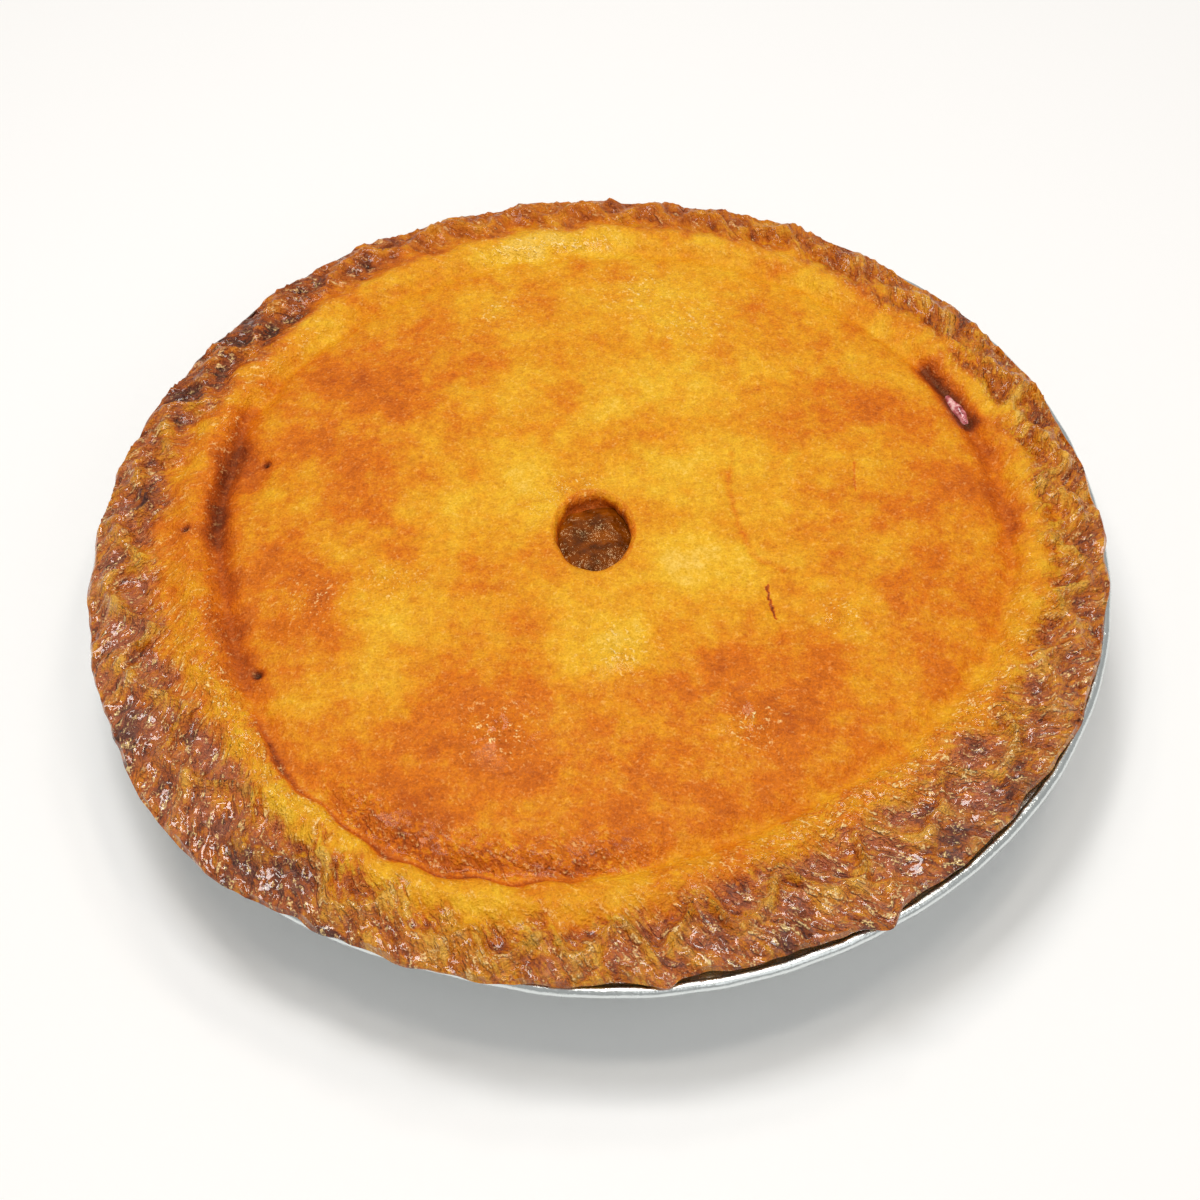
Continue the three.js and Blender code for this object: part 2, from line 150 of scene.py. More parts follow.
soft_light("ceiling_lamp", (-140, 160, 1100), 340, 3.6)
soft_light("lamp_front", (500, -700, 900), 900, 1.4)
for number, (turn, height) in enumerate(SMALL_LAMPS):
    sideways = 1000 * math.cos(math.radians(height))
    above = 1000 * math.sin(math.radians(height))
    place = (sideways * math.cos(math.radians(turn)), sideways * math.sin(math.radians(turn)), above)
    soft_light(f"small_lamp_{number}", place, 130, 0.6).data.color = (1, 0.93, 0.84)
surround = bpy.data.worlds.new("surround")
surround.use_nodes = True
surround.node_tree.nodes["Background"].inputs["Color"].default_value = (1, 0.99, 0.97, 1)
surround.node_tree.nodes["Background"].inputs["Strength"].default_value = 0.42
bpy.context.scene.world = surround
bpy.context.scene.view_settings.view_transform = "Standard"

# %% [markdown]
# ## The driving sizes
# These are the sizes that the solids were built from, and everything below is worked out from
# them. Angles run anticlockwise from the right side of the pie, so the front is at 270 degrees.

# %% Sizes of the tin and the pastry
TIN_RIM_RADIUS = 120.9
TIN_MOUTH_RADIUS = 110.5
TIN_BASE_RADIUS = 92
TIN_DEPTH = 29
FOIL = 0.6
BEAD_RADIUS = 1.35
TIN_BENDS = [(0, 24, -1.2), (252, 16, -1.9)]  # degrees, half width in degrees, mm outwards

GAP = 0.3
PASTRY = 3.6
EDGE_RADIUS = 119.9
GROOVE_RADIUS = 95.8
GROOVE_SHIFT = (0.8, 2)
GROOVE_HALF_WIDTH = 3.2
GROOVE_DEPTH = 2.2
LID_EDGE_HEIGHT = 34.4
LID_HEIGHT = 37
SHOULDER_HEIGHT = 36.3
CRIMP_HEIGHT = 33.8
EDGE_HEIGHT = 32.7
LIP_UNDERSIDE = TIN_DEPTH + FOIL / 2 + BEAD_RADIUS + GAP
LIP_MIDDLE = LIP_UNDERSIDE + 0.72
CAVITY_CORNER = LID_EDGE_HEIGHT - GROOVE_DEPTH - PASTRY - 0.4  # inside, under the groove

CRIMPS = 33
RIDGE_INSET = 8
RIDGE_SWING = 3.2
RIDGE_RISE = 2.5
RIDGE_HALF_WIDTH = 2
POCKET_DEPTH = 1.1

VENT_CENTRE = (-1.6, -0.1)
VENT_LIP = (10.3, 13.4)
VENT_PLAIN = 11.8  # the vent's lip while it is still round

SPLIT_MIDDLE = 26  # degrees
SPLIT_HALF_LENGTH = 12.5
SPLIT_HALF_WIDTH = 1.7

# Changes round the pie, each with its degrees, half width in degrees and amount: of the outer lip,
# of the groove's radius, of the ridge's inset and swing, of the crimps' strength and of the
# groove's depth.
LIP_CHANGES = [
    (8, 32, -1.4), (118, 19, 1.6), (180, 12, 0.7), (217, 21, 3.6), (252, 7, 0.8), (290, 32, -1.5),
    (209, 4, -0.8), (236.5, 1.6, -1.4), (275, 1.3, 2.1), (298.5, 1.8, 3.6), (320.5, 2.4, -2),
]
GROOVE_BENDS = [(243, 18, 3.7), (300, 26, -5.7), (190, 24, -5.3)]
INSET_CHANGES = [(218, 22, 5.3), (302, 26, 4.8), (255, 14, -2.5), (95, 50, -2.2)]
SWING_CHANGES = [(215, 24, 1.7), (305, 28, 1), (255, 14, -0.5), (95, 50, -0.8)]
STRENGTH_CHANGES = [(100, 48, -0.4), (15, 30, -0.2)]
GROOVE_SHARE = 0.5
GROOVE_CHANGES = [(95, 50, -0.3), (20, 20, 0.3), (170, 26, 0.6), (250, 28, 0.2), (325, 25, -0.2)]

# Rises and hollows of the lid over the fruit: x, y, radius, rise.
LID_SWELLS = [
    (5, -37, 10, 0.9), (44, -50, 15, 0.8), (-22, -50, 18, 0.7), (-56, -26, 16, 0.8), (-52, 32, 20, 0.9),
    (-8, 56, 20, 0.7), (34, 52, 18, 0.6), (62, 20, 16, 0.8), (66, -22, 15, 0.7), (16, -72, 18, 0.6),
    (32, -8, 9, -0.8), (-28, 6, 12, -0.5), (20, 22, 12, -0.5), (-84, 22, 9, -1.9), (-80, -24, 8, -0.8),
]

# %% [markdown]
# ## Small helpers
# The plain forms are made with edit-mode tools, and the hand of the baker comes afterwards, as
# moves of the vertices. Those moves are formulas over whole arrays of points, so numpy does them at
# once. Only the noise has to be asked for point by point.


# %% Formulas over arrays of points
def mix(a, b, share):
    return a + (b - a) * share


def bell(offset, width):
    return np.exp(-((offset / width) ** 2))


def smooth_step(start, end, value):
    share = np.clip((value - start) / (end - start), 0, 1)
    return share * share * (3 - 2 * share)


def degrees_between(angle, degrees):
    turn = np.degrees(angle) - degrees
    return turn - 360 * np.round(turn / 360)


def changes_at(angle, changes):
    return sum(amount * bell(degrees_between(angle, place), half) for place, half, amount in changes)


def uneven(x, y, z, size, seed):
    """Soft noise between about -1 and 1, with lumps of that size."""
    shift = Vector((seed * 7.31, seed * 3.17, seed * 5.73))
    return np.array([noise.noise(Vector(point) / size + shift) for point in zip(x, y, z)]) * 1.6


def creased(x, y, z, size, seed):
    """Noise with sharp ridges between soft hollows, between 0 and 1."""
    return 1 - np.clip(np.abs(uneven(x, y, z, size, seed)) * 1.6, 0, 1)


# %% Edit-mode helpers
def deselect_all():
    if bpy.context.object and bpy.context.object.mode != "OBJECT":
        bpy.ops.object.mode_set(mode="OBJECT")
    bpy.ops.object.select_all(action="DESELECT")


def spin_section(name, section, steps):
    """Draws a section point by point, as with a pen, and spins it round the upright axis."""
    deselect_all()
    bpy.ops.mesh.primitive_plane_add(size=MM)
    piece = bpy.context.object
    piece.name = piece.data.name = name
    bpy.ops.object.mode_set(mode="EDIT")
    bpy.ops.mesh.merge(type="CENTER")
    here = (0, 0)
    for number, (radius, height) in enumerate(section):
        step = ((radius - here[0]) * MM, 0, (height - here[1]) * MM)
        if number == 0:
            bpy.ops.transform.translate(value=step)
        else:
            bpy.ops.mesh.extrude_region_move(TRANSFORM_OT_translate={"value": step})
        here = (radius, height)
    bpy.ops.mesh.select_all(action="SELECT")
    bpy.ops.mesh.spin(steps=steps, angle=math.tau, center=(0, 0, 0), axis=(0, 0, 1))
    bpy.ops.mesh.select_all(action="SELECT")
    bpy.ops.mesh.remove_doubles(threshold=0.01 * MM)
    bpy.ops.mesh.normals_make_consistent(inside=False)
    bpy.ops.object.mode_set(mode="OBJECT")
    return piece


def split_faces_finer(piece, wanted):
    """Subdivides once the faces whose middle, in mm, is wanted."""
    bpy.ops.object.mode_set(mode="EDIT")
    bpy.ops.mesh.select_all(action="DESELECT")
    bpy.ops.mesh.select_mode(type="FACE")
    work = bmesh.from_edit_mesh(piece.data)
    for face in work.faces:
        face.select = wanted(face.calc_center_median() / MM)
    bmesh.update_edit_mesh(piece.data)
    bpy.ops.mesh.subdivide(number_cuts=1)
    bpy.ops.mesh.select_mode(type="VERT")
    bpy.ops.object.mode_set(mode="OBJECT")


def points_of(piece):
    flat = np.empty(len(piece.data.vertices) * 3)
    piece.data.vertices.foreach_get("co", flat)
    return flat.reshape(-1, 3) / MM


def move_points(piece, points):
    piece.data.vertices.foreach_set("co", (points * MM).ravel())
    piece.data.update()


def keep_value(piece, name, values):
    """Stores one number per vertex, for the materials to read."""
    stored = piece.data.attributes.new(name, "FLOAT", "POINT")
    stored.data.foreach_set("value", np.clip(values, 0, 1).astype(np.float32))


def finish_piece(piece, node, smooth=40):
    deselect_all()
    piece.select_set(True)
    bpy.context.view_layer.objects.active = piece
    bpy.ops.object.shade_smooth_by_angle(angle=math.radians(smooth))
    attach(piece, "root")
    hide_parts(node)
    low, high = (np.array(side) for side in (points_of(piece).min(0), points_of(piece).max(0)))
    triangles = sum(len(face.vertices) - 2 for face in piece.data.polygons)
    print(piece.name, "is", np.round(high - low, 1), "mm and has", triangles, "triangles")


# %% [markdown]
# ## The pastry's outline
# A crimped rim is never a clean circle. Its outer lip bulges where more dough was left and has
# nicks where some broke off, and the groove inside it runs its own way. Both are written as a
# radius for each direction.


# %% Outer lip and groove
def crimp_phase(angle):
    return CRIMPS * angle + 5.1 + 1.5 * np.sin(2 * angle + 2.7) + 2.1 * np.sin(4 * angle + 0.65)


def crimp_wave(angle):
    phase = crimp_phase(angle)
    return np.sin(phase) + 0.3 * np.sin(2 * phase + 0.9)


def edge_radius(angle):
    unevenness = 0.25 * np.sin(5 * angle + 0.6) + 0.25 * np.sin(11 * angle + 2)
    scallop = 0.4 * np.sin(crimp_phase(angle) + 0.8)
    return EDGE_RADIUS + unevenness + scallop + changes_at(angle, LIP_CHANGES)


def groove_radius(angle):
    shift = GROOVE_SHIFT[0] * np.cos(angle) + GROOVE_SHIFT[1] * np.sin(angle)
    return GROOVE_RADIUS + shift + changes_at(angle, GROOVE_BENDS)


def crimp_strength(angle):
    return 0.9 + 0.1 * np.sin(4 * angle + 1) + changes_at(angle, STRENGTH_CHANGES)


def ridge_middle(angle):
    return RIDGE_INSET + changes_at(angle, INSET_CHANGES)


def ridge_swing(angle):
    return RIDGE_SWING + changes_at(angle, SWING_CHANGES)


def ridge_inset(angle):
    return ridge_middle(angle) - ridge_swing(angle) * crimp_wave(angle)


# %% Heights of the lid and of the rim
def lid_height(x, y, radius, groove):
    dome = 0.3 * (1 - np.exp((radius - groove) / 5)) + 0.7 * (1 - (radius / groove) ** 2)
    swells = sum(rise * bell(np.hypot(x - sx, y - sy), size) for sx, sy, size, rise in LID_SWELLS)
    return mix(LID_EDGE_HEIGHT, LID_HEIGHT, dome) + swells


def ridge_share(angle, inset):
    """1 on the crest of the wavy ridge and 0 away from it."""
    return bell(inset - ridge_inset(angle), RIDGE_HALF_WIDTH)


def pocket_share(angle, inset):
    """1 in the middle of the pockets that the crimping fingers pressed inside each wave."""
    across = bell(inset - ridge_middle(angle) - ridge_swing(angle), 2.4)
    return across * smooth_step(-0.2, 0.9, crimp_wave(angle))


def rim_height(angle, outwards, inset):
    strength = crimp_strength(angle)
    slope = (SHOULDER_HEIGHT - CRIMP_HEIGHT) * smooth_step(6, 13, outwards)
    lip = (CRIMP_HEIGHT - EDGE_HEIGHT) * smooth_step(5, 0, inset)
    ridge = RIDGE_RISE * strength * ridge_share(angle, inset)
    hollow = POCKET_DEPTH * strength * pocket_share(angle, inset)
    ruffle = 0.35 * np.sin(crimp_phase(angle) + 2.4) * smooth_step(6, 2, inset)
    return SHOULDER_HEIGHT - slope - lip + ridge - hollow + ruffle


def top_height(x, y):
    angle = np.arctan2(y, x)
    radius = np.hypot(x, y)
    groove = groove_radius(angle)
    outwards = radius - groove
    lid = lid_height(x, y, np.minimum(radius, groove), groove)
    rim = rim_height(angle, outwards, edge_radius(angle) - radius)
    depth = GROOVE_DEPTH * (GROOVE_SHARE + changes_at(angle, GROOVE_CHANGES))
    return mix(lid, rim, smooth_step(-1.5, 4.5, outwards)) - depth * bell(outwards, GROOVE_HALF_WIDTH)


# %% [markdown]
# ## The plain crust
# The crust is one closed skin: under the base, up the side, over the rim and the lid, down into the
# vent and back under the lid and along the inside of the shell. It could be sculpted from a
# cylinder, but a section that is drawn once and spun gives rings exactly where they are wanted:
# close together on the rim and coarse where nobody looks. The rim is then subdivided once more,
# because crimps and flakes need the finest mesh.

# %% Section of the crust, spun
SPIN_STEPS = 480
RIM_INNER = 80  # the fine part reaches in past the groove to here
PLAIN_TOP = 36.0
PLAIN_CEILING = 32.0
WALL_LEAN = (TIN_MOUTH_RADIUS - (TIN_BASE_RADIUS - FOIL)) / TIN_DEPTH


def tin_inside(height):
    return TIN_MOUTH_RADIUS - WALL_LEAN * (TIN_DEPTH + FOIL - height)


def crust_section():
    base = FOIL + GAP
    outside = [(0, base), (40, base), (TIN_BASE_RADIUS - 3.3, base), (tin_inside(3.3) - GAP, 3.3)]
    outside += [(tin_inside(height) - GAP, height) for height in (12, 21, 29.9)]
    under_rim = [(113, 29.9), (116, 29.9), (117.3, LIP_UNDERSIDE), (EDGE_RADIUS - 0.7, LIP_UNDERSIDE)]
    lip = [(EDGE_RADIUS, LIP_MIDDLE)]
    rim = [(radius, PLAIN_TOP) for radius in np.linspace(EDGE_RADIUS - 0.6, RIM_INNER, 28)]
    lid = [(radius, PLAIN_TOP) for radius in np.linspace(RIM_INNER, 50, 24)[1:]]
    middle = [(radius, PLAIN_TOP) for radius in np.linspace(50, VENT_PLAIN, 34)[1:]]
    vent = [(VENT_PLAIN - turned, PLAIN_TOP - dropped)
            for turned, dropped in ((0.5, 0.12), (1, 0.35), (1.45, 0.75), (1.8, 1.3), (2, 2), (2.1, 2.9))]
    ceiling = [(radius, PLAIN_CEILING) for radius in (10, 30, 50, 70, 85, 92, 101)]
    floor = FOIL + GAP + PASTRY
    inside = [(tin_inside(27) - GAP - PASTRY, 27.6), (tin_inside(floor) - GAP - PASTRY, floor), (0, floor)]
    return outside + under_rim + lip + rim + lid + middle + vent + ceiling + inside


crust = spin_section("baked_crust", crust_section(), SPIN_STEPS)
split_faces_finer(crust, lambda place: place.z > LIP_UNDERSIDE + 0.1 and place.xy.length > RIM_INNER)
print("plain crust has", len(crust.data.vertices), "vertices")

# %% [markdown]
# ## The split beside the groove
# Steam has opened the lid along the groove at the right. The split is cut while the crust is still
# plain, because its top and its ceiling are flat there and the cut is clean. A cylinder is drawn
# out to a lens shape that bends with the groove, and a Boolean takes it out of the crust.


# %% Cut the split
def lens_cutter():
    bpy.ops.mesh.primitive_cylinder_add(vertices=36, radius=1, depth=12 * MM, location=(0, 0, 34 * MM))
    cutter = bpy.context.object
    bpy.ops.object.transform_apply(location=True, rotation=False, scale=False)
    corners = points_of(cutter)
    along, across = corners[:, 0] * MM, corners[:, 1] * MM
    turn = np.radians(SPLIT_MIDDLE + along * math.degrees(SPLIT_HALF_LENGTH / GROOVE_RADIUS))
    reach = groove_radius(turn) + 0.2 + SPLIT_HALF_WIDTH * across * np.sqrt(np.abs(across))
    move_points(cutter, np.stack([reach * np.cos(turn), reach * np.sin(turn), corners[:, 2]], axis=1))
    return cutter


cutter = lens_cutter()
deselect_all()
bpy.context.view_layer.objects.active = crust
cut = crust.modifiers.new("split", "BOOLEAN")
cut.operation = "DIFFERENCE"
cut.object = cutter
bpy.ops.object.modifier_apply(modifier=cut.name)
bpy.data.objects.remove(cutter)
print("after the split the crust has", len(crust.data.vertices), "vertices")

# %% [markdown]
# ## The hand of the baker
# Now every point of the plain crust moves to its place on the real pie. The lip follows the bulges
# and nicks, the vent becomes the oval that it is, and the top gets its heights. The formulas are
# asked at places that wander a little, because crimps made by hand never repeat exactly.

# %% Move the plain crust onto the pie's form
plain = points_of(crust)
plain_radius = np.hypot(plain[:, 0], plain[:, 1])
angle = np.arctan2(plain[:, 1], plain[:, 0])
plain_height = plain[:, 2]

over_lip = plain_height > LIP_UNDERSIDE - 0.01
on_top = plain_height > PLAIN_TOP - 0.01
ceiling = np.abs(plain_height - PLAIN_CEILING) < 0.01
vent_wall = ~on_top & ~ceiling & over_lip & (plain_radius < VENT_PLAIN)
lip_side = ~on_top & ~ceiling & over_lip & (plain_radius > EDGE_RADIUS - 0.75)
beside_bead = (np.abs(plain_radius - 116) < 0.1) & ~over_lip
over_bead = np.abs(plain_radius - 117.3) < 0.1

inside_bead = TIN_RIM_RADIUS - 2 * BEAD_RADIUS + changes_at(angle, TIN_BENDS)
edge = edge_radius(angle)
stretch = np.clip((plain_radius - 97) / (EDGE_RADIUS - 97), 0, 1) * (on_top | lip_side)
radius = plain_radius + (edge - EDGE_RADIUS) * stretch
radius = np.where(beside_bead, np.minimum(edge - 3.4, inside_bead - 2), radius)
radius = np.where(over_bead & ~on_top, np.minimum(edge - 2.4, inside_bead - 0.8), radius)

x = radius * np.cos(angle)
y = radius * np.sin(angle)
to_vent = smooth_step(50, VENT_PLAIN, plain_radius) * (on_top | vent_wall)
x = x + to_vent * (VENT_CENTRE[0] + x * (VENT_LIP[0] / VENT_PLAIN - 1))
y = y + to_vent * (VENT_CENTRE[1] + y * (VENT_LIP[1] / VENT_PLAIN - 1))

wander = 1.1 * smooth_step(0.5, 4, edge - radius) * smooth_step(86, 98, radius)
asked_x = x + wander * uneven(x, y, 0 * x, 8, 1)
asked_y = y + wander * uneven(x, y, 0 * x, 8, 2)
top = top_height(asked_x, asked_y)

under_top = np.where(plain_radius > 91, CAVITY_CORNER, top - PASTRY - 0.2)
up_lip = np.clip((plain_height - LIP_MIDDLE) / (PLAIN_TOP - LIP_MIDDLE), 0, 1)
z = np.where(on_top, top, plain_height)
z = np.where(lip_side & (up_lip > 0), mix(LIP_MIDDLE, top, up_lip), z)
z = np.where(vent_wall, plain_height - PLAIN_TOP + LID_HEIGHT, z)
z = np.where(ceiling, under_top, z)
shaped = np.stack([x, y, z], axis=1)
print("top of the crust between", round(z[on_top].min(), 1), "and", round(z[on_top].max(), 1), "mm")

# %% [markdown]
# ## Wrinkles, blisters and layers
# Rolled pastry wrinkles where fingers press it, lifts in blisters over the lid and splits in
# layers along its cut edge. Noise in straight lines would not follow the crimps. So the wrinkles
# are asked in coordinates of their own, one that runs round the pie and one that counts across
# the wavy ridge. Where the crust is smooth, on the lid and the shoulder, plain noise is enough.

# %% Where each point lies on the rim
RING_RADIUS = 110  # the circle on which the noise of the rim is asked
LEAN = 0.8  # millimetres sideways for each millimetre that a wrinkle runs inwards

asked_angle = np.arctan2(asked_y, asked_x)
inset = edge_radius(asked_angle) - np.hypot(asked_x, asked_y)
outwards = np.hypot(asked_x, asked_y) - groove_radius(asked_angle)
across_ridge = inset - ridge_inset(asked_angle)
ring_x = RING_RADIUS * np.cos(angle)
ring_y = RING_RADIUS * np.sin(angle)
slanting = angle + LEAN * inset / RING_RADIUS

skin = on_top | lip_side
ridge_inner = ridge_middle(asked_angle) + ridge_swing(asked_angle) + 3.5
ragged = inset - ridge_inner + 2.6 * uneven(x, y, 0 * x, 6, 16) + 1.2 * uneven(x, y, 0 * x, 2.6, 19)
crimped = smooth_step(2.5, -3.5, ragged) * skin
rim_coloured = smooth_step(4, -7, ragged + changes_at(angle, [(232, 14, 2.5), (95, 50, -1.5)])) * skin
crest = ridge_share(asked_angle, inset) * crimped
pocket = pocket_share(asked_angle, inset) * crimped
outer_pocket = bell(inset - ridge_middle(asked_angle) + ridge_swing(asked_angle), 2.6)
outer_pocket = outer_pocket * smooth_step(0.2, -0.9, crimp_wave(asked_angle)) * crimped
on_lid = smooth_step(-1, -5, outwards) * on_top
shoulder = smooth_step(0, 3, outwards) * (1 - crimped) * on_top
lip_band = smooth_step(4.5, 1, inset) * skin
flaky = smooth_step(-14, -3, outwards) * smooth_step(0.5, -0.5, outwards) * on_top
flaky = flaky * smooth_step(30, 14, np.abs(degrees_between(angle, 252)))

# %% Relief of the pastry, its amounts in millimetres of height
folds = creased(ring_x, ring_y, across_ridge * 2.4, 3.6, 3)
drapes = creased(ring_x * 2.2, ring_y * 2.2, inset, 3.4, 4)
layers = creased(ring_x * 0.22, ring_y * 0.22, inset * 2.6 + z, 2.4, 5)
soft_lumps = uneven(x, y, z, 13, 6)
small_lumps = uneven(x, y, z, 4.5, 7)
blisters = smooth_step(0.55, 1.1, uneven(x, y, z, 5.5, 8))

crags = creased(x, y, z, 2.6, 18)
ruffles = creased(RING_RADIUS * np.cos(slanting), RING_RADIUS * np.sin(slanting), inset * 0.4, 5.5, 20)
wrinkly = 0.25 + changes_at(angle, [(212, 26, 0.75), (310, 30, 0.75)])
rim_depth = 1 - changes_at(angle, [(95, 50, 0.6)])

relief = crimped * (0.6 * (folds - 0.5) + 0.7 * (drapes - 0.5) * (pocket + outer_pocket + 0.35))
relief -= crimped * 1.1 * (ruffles - 0.35) * rim_depth
relief += crimped * (0.35 * small_lumps + 0.45 * (crags - 0.4))
relief += lip_band * 0.6 * (layers - 0.5)
relief -= 0.4 * bell(outwards - 5, 2.2) * (1 - crimped) * on_top
relief += 0.7 * bell(outwards, 3) * bell(degrees_between(angle, 222), 16) * on_top
relief += flaky * (0.35 * (creased(x * 0.5, y, z, 2.2, 14) - 0.4) + 0.2 * small_lumps)
relief += shoulder * wrinkly * (0.5 * (drapes - 0.5) + 0.45 * (crags - 0.4))
relief += shoulder * (0.22 * small_lumps + 0.3 * soft_lumps)
relief += on_lid * (0.22 * soft_lumps + 0.1 * small_lumps + 0.3 * blisters)
relief *= smooth_step(VENT_PLAIN + 1, VENT_PLAIN + 6, plain_radius)
shaped[:, 2] += np.where(on_top, relief, 0)

side_wave = 0.35 * (layers - 0.5) + 0.25 * small_lumps
side_share = np.where(lip_side, 1, smooth_step(1.2, 0, inset) * on_top)
shaped[:, 0] += side_wave * side_share * np.cos(angle)
shaped[:, 1] += side_wave * side_share * np.sin(angle)
wall_lumps = vent_wall * 0.25 * uneven(x, y, z, 2.6, 9)
shaped[:, 0] += wall_lumps * np.cos(angle)
shaped[:, 1] += wall_lumps * np.sin(angle)
print("relief between", round(relief.min(), 2), "and", round(relief.max(), 2), "mm")

# %% [markdown]
# ## Marks of this one pie
# A step where a strip of the lid has settled, two short cracks, three pin-holes at the left, the
# torn notch near them and the thin line where the rim lies over the lid at the front. Each is a
# line or a point on the plan, and its depth fades with the distance from it.


# %% Lines pressed or torn into the top
def distance_to_line(x, y, line):
    nearest = np.full(len(x), 1e9)
    for (ax, ay), (bx, by) in zip(line, line[1:]):
        length = math.hypot(bx - ax, by - ay)
        along = np.clip(((x - ax) * (bx - ax) + (y - ay) * (by - ay)) / length**2, 0, 1)
        nearest = np.minimum(nearest, np.hypot(x - ax - along * (bx - ax), y - ay - along * (by - ay)))
    return nearest


SETTLED_STEP = [(32.5, 23), (30.8, 13), (32.2, 3), (35.5, -9), (42, -13.4)]
SHORT_CRACK = [(38, -18.2), (38.3, -22), (39.4, -28)]
HAIR_CRACK = [(61.7, 19), (61, 10)]
NOTCH = [(-89, 37), (-85.5, 30), (-82, 25.5), (-83.5, 21)]
PIN_HOLES = [(-78.4, -37.4, 1.3), (-80.6, 27.3, 0.8), (-98.4, 6, 0.9)]  # x, y, radius

settled = bell(distance_to_line(x, y, SETTLED_STEP), 1.1) * on_top
short_crack = bell(distance_to_line(x, y, SHORT_CRACK), 0.8) * on_top
hair_crack = bell(distance_to_line(x, y, HAIR_CRACK), 0.6) * on_top
notch = bell(distance_to_line(x, y, NOTCH), 3.2) * on_top
split_line = [(GROOVE_RADIUS * 1.018 * math.cos(turn), GROOVE_RADIUS * 1.018 * math.sin(turn))
              for turn in np.radians([SPLIT_MIDDLE - 6, SPLIT_MIDDLE, SPLIT_MIDDLE + 6])]
split_roll = bell(distance_to_line(x, y, split_line), 2.6) * on_top
pin_hole = sum(bell(np.hypot(x - px, y - py), size) for px, py, size in PIN_HOLES) * on_top
rim_line = bell(outwards - 1.2, 0.7) * smooth_step(30, 20, np.abs(degrees_between(angle, 239))) * on_top
shaped[:, 2] -= 0.5 * settled + 0.7 * short_crack + 0.3 * hair_crack + 0.7 * notch
shaped[:, 2] -= 1.6 * np.clip(pin_hole, 0, 1) + 0.8 * rim_line + 0.8 * split_roll
move_points(crust, shaped)
print("marked points:", int((settled + short_crack + notch + pin_hole + rim_line > 0.5).sum()))

# %% [markdown]
# ## How far each part is baked, and its painted shade and light
# Pastry browns where it is thin, high and close to the oven wall. So the rim is darkest, the lid is
# orange over the fruit and yellow where it has sunk, and the groove keeps the egg wash and turns
# red-brown. The same number also carries painted shade and light: the rim's pockets and hollows are
# darker and its crests lighter, the groove is darker in places, the walls of the vent and the split
# get darker downwards, the notch, the pin-holes, the split's edges and the line where the rim lies
# over the lid are darkened, and a painted sheen makes some lid spots and the back of the shoulder
# paler. All of this is one number per point, from 0 for pale to 1 for burnt. It is made of
# broad areas first and single patches after them, each with its place, size and strength.

# %% Browning with painted shade and light, from 0 for pale to 1 for burnt
# The paler spots at (3, -36), (-24, 75), (12, 82) and (24, 68) lie on glossy places and are painted sheen;
# the rest is the lid's own browning.
LID_PATCHES_AND_SHEEN = [  # x, y, radius, browner by
    (-70, 55, 16, 0.2), (-40, 60, 13, 0.12), (-62, 30, 16, 0.15), (-78, -20, 18, 0.2), (42, -50, 18, 0.15),
    (75, -20, 15, 0.15), (82, 10, 13, 0.16), (0, -70, 26, 0.17), (-35, -70, 20, 0.16), (35, -72, 18, 0.14),
    (80, -42, 9, 0.14), (6, -86, 13, 0.07), (-22, 17, 15, -0.14), (10, 55, 20, -0.08), (25, 17, 15, -0.14),
    (20, -10, 14, -0.16), (-50, -25, 11, -0.06), (3, -36, 9, -0.28), (50, -32, 10, -0.06), (64, 36, 13, 0.12),
    (-24, 75, 6, -0.08), (12, 82, 8, -0.08), (24, 68, 8, -0.06), (-30, -44, 13, 0.08), (24, -44, 10, 0.08),
]
SHOULDER_BAKE = [(180, 40, 0.08), (95, 45, -0.04), (40, 30, -0.02), (232, 22, -0.1), (285, 25, 0.03)]
# The groove is red-brown of its own, and its darker places, most at the left and by the split, are painted
# shade.
GROOVE_TONE_AND_SHADE = [(170, 18, 0.36), (5, 24, 0.2), (205, 14, 0.2), (228, 14, 0.1), (250, 20, 0.1), (25, 8, 0.12)]
RIM_BAKE = [(95, 45, 0.15), (145, 22, 0.3), (215, 30, 0.1), (300, 26, 0.1), (252, 12, -0.08)]
CHARRED = [  # degrees, radius, size
    (206, 118, 4), (228.5, 117, 4.6), (240.5, 120, 4), (288, 117, 3.6), (310, 114, 3.6), (321, 115, 4.4),
    (231.5, 107, 1.6), (310.5, 105, 1.5), (153, 115, 4), (171, 110, 3), (234, 113, 4),
]
MAUVE = [(205, 44, 0.6), (302, 44, 0.6), (160, 24, 0.15), (250, 14, -0.3)]  # degrees, half width, amount

# Places where the egg wash shines. They get a coat and smoother skin, and in the material also pale flecks
# and a lighter colour, which are painted highlight and sheen.
GLOSSY = [  # x, y, radius, amount
    (32, -57, 6, 0.8), (-24, -57, 7, 0.8), (-67, -17, 6, 0.6), (-49, -13, 6, 0.5), (54, -28, 5, 0.6),
    (3, -36, 7, 0.6), (-24, 98, 5, 0.6), (-14, 100, 6, 0.8), (-4, 101, 5, 0.6), (4, 101, 4, 0.4),
    (-24, 75, 6, 0.5), (12, 82, 8, 0.5), (24, 68, 8, 0.4), (-14, 9, 3, 0.5), (-9, 13, 3.4, 0.6),
    (-3, 15, 3, 0.5),
]

# Painted sheen: these spots on the back of the shoulder are painted paler, as a highlight.
PAINTED_SHEEN = [(-24, 98, 6, 0.8), (-13, 100, 6, 1), (-3, 101, 5, 0.8), (6, 100, 5, 0.5)]


def spots(places):
    return sum(bell(np.hypot(x - px, y - py), size) * amount for px, py, size, amount in places)


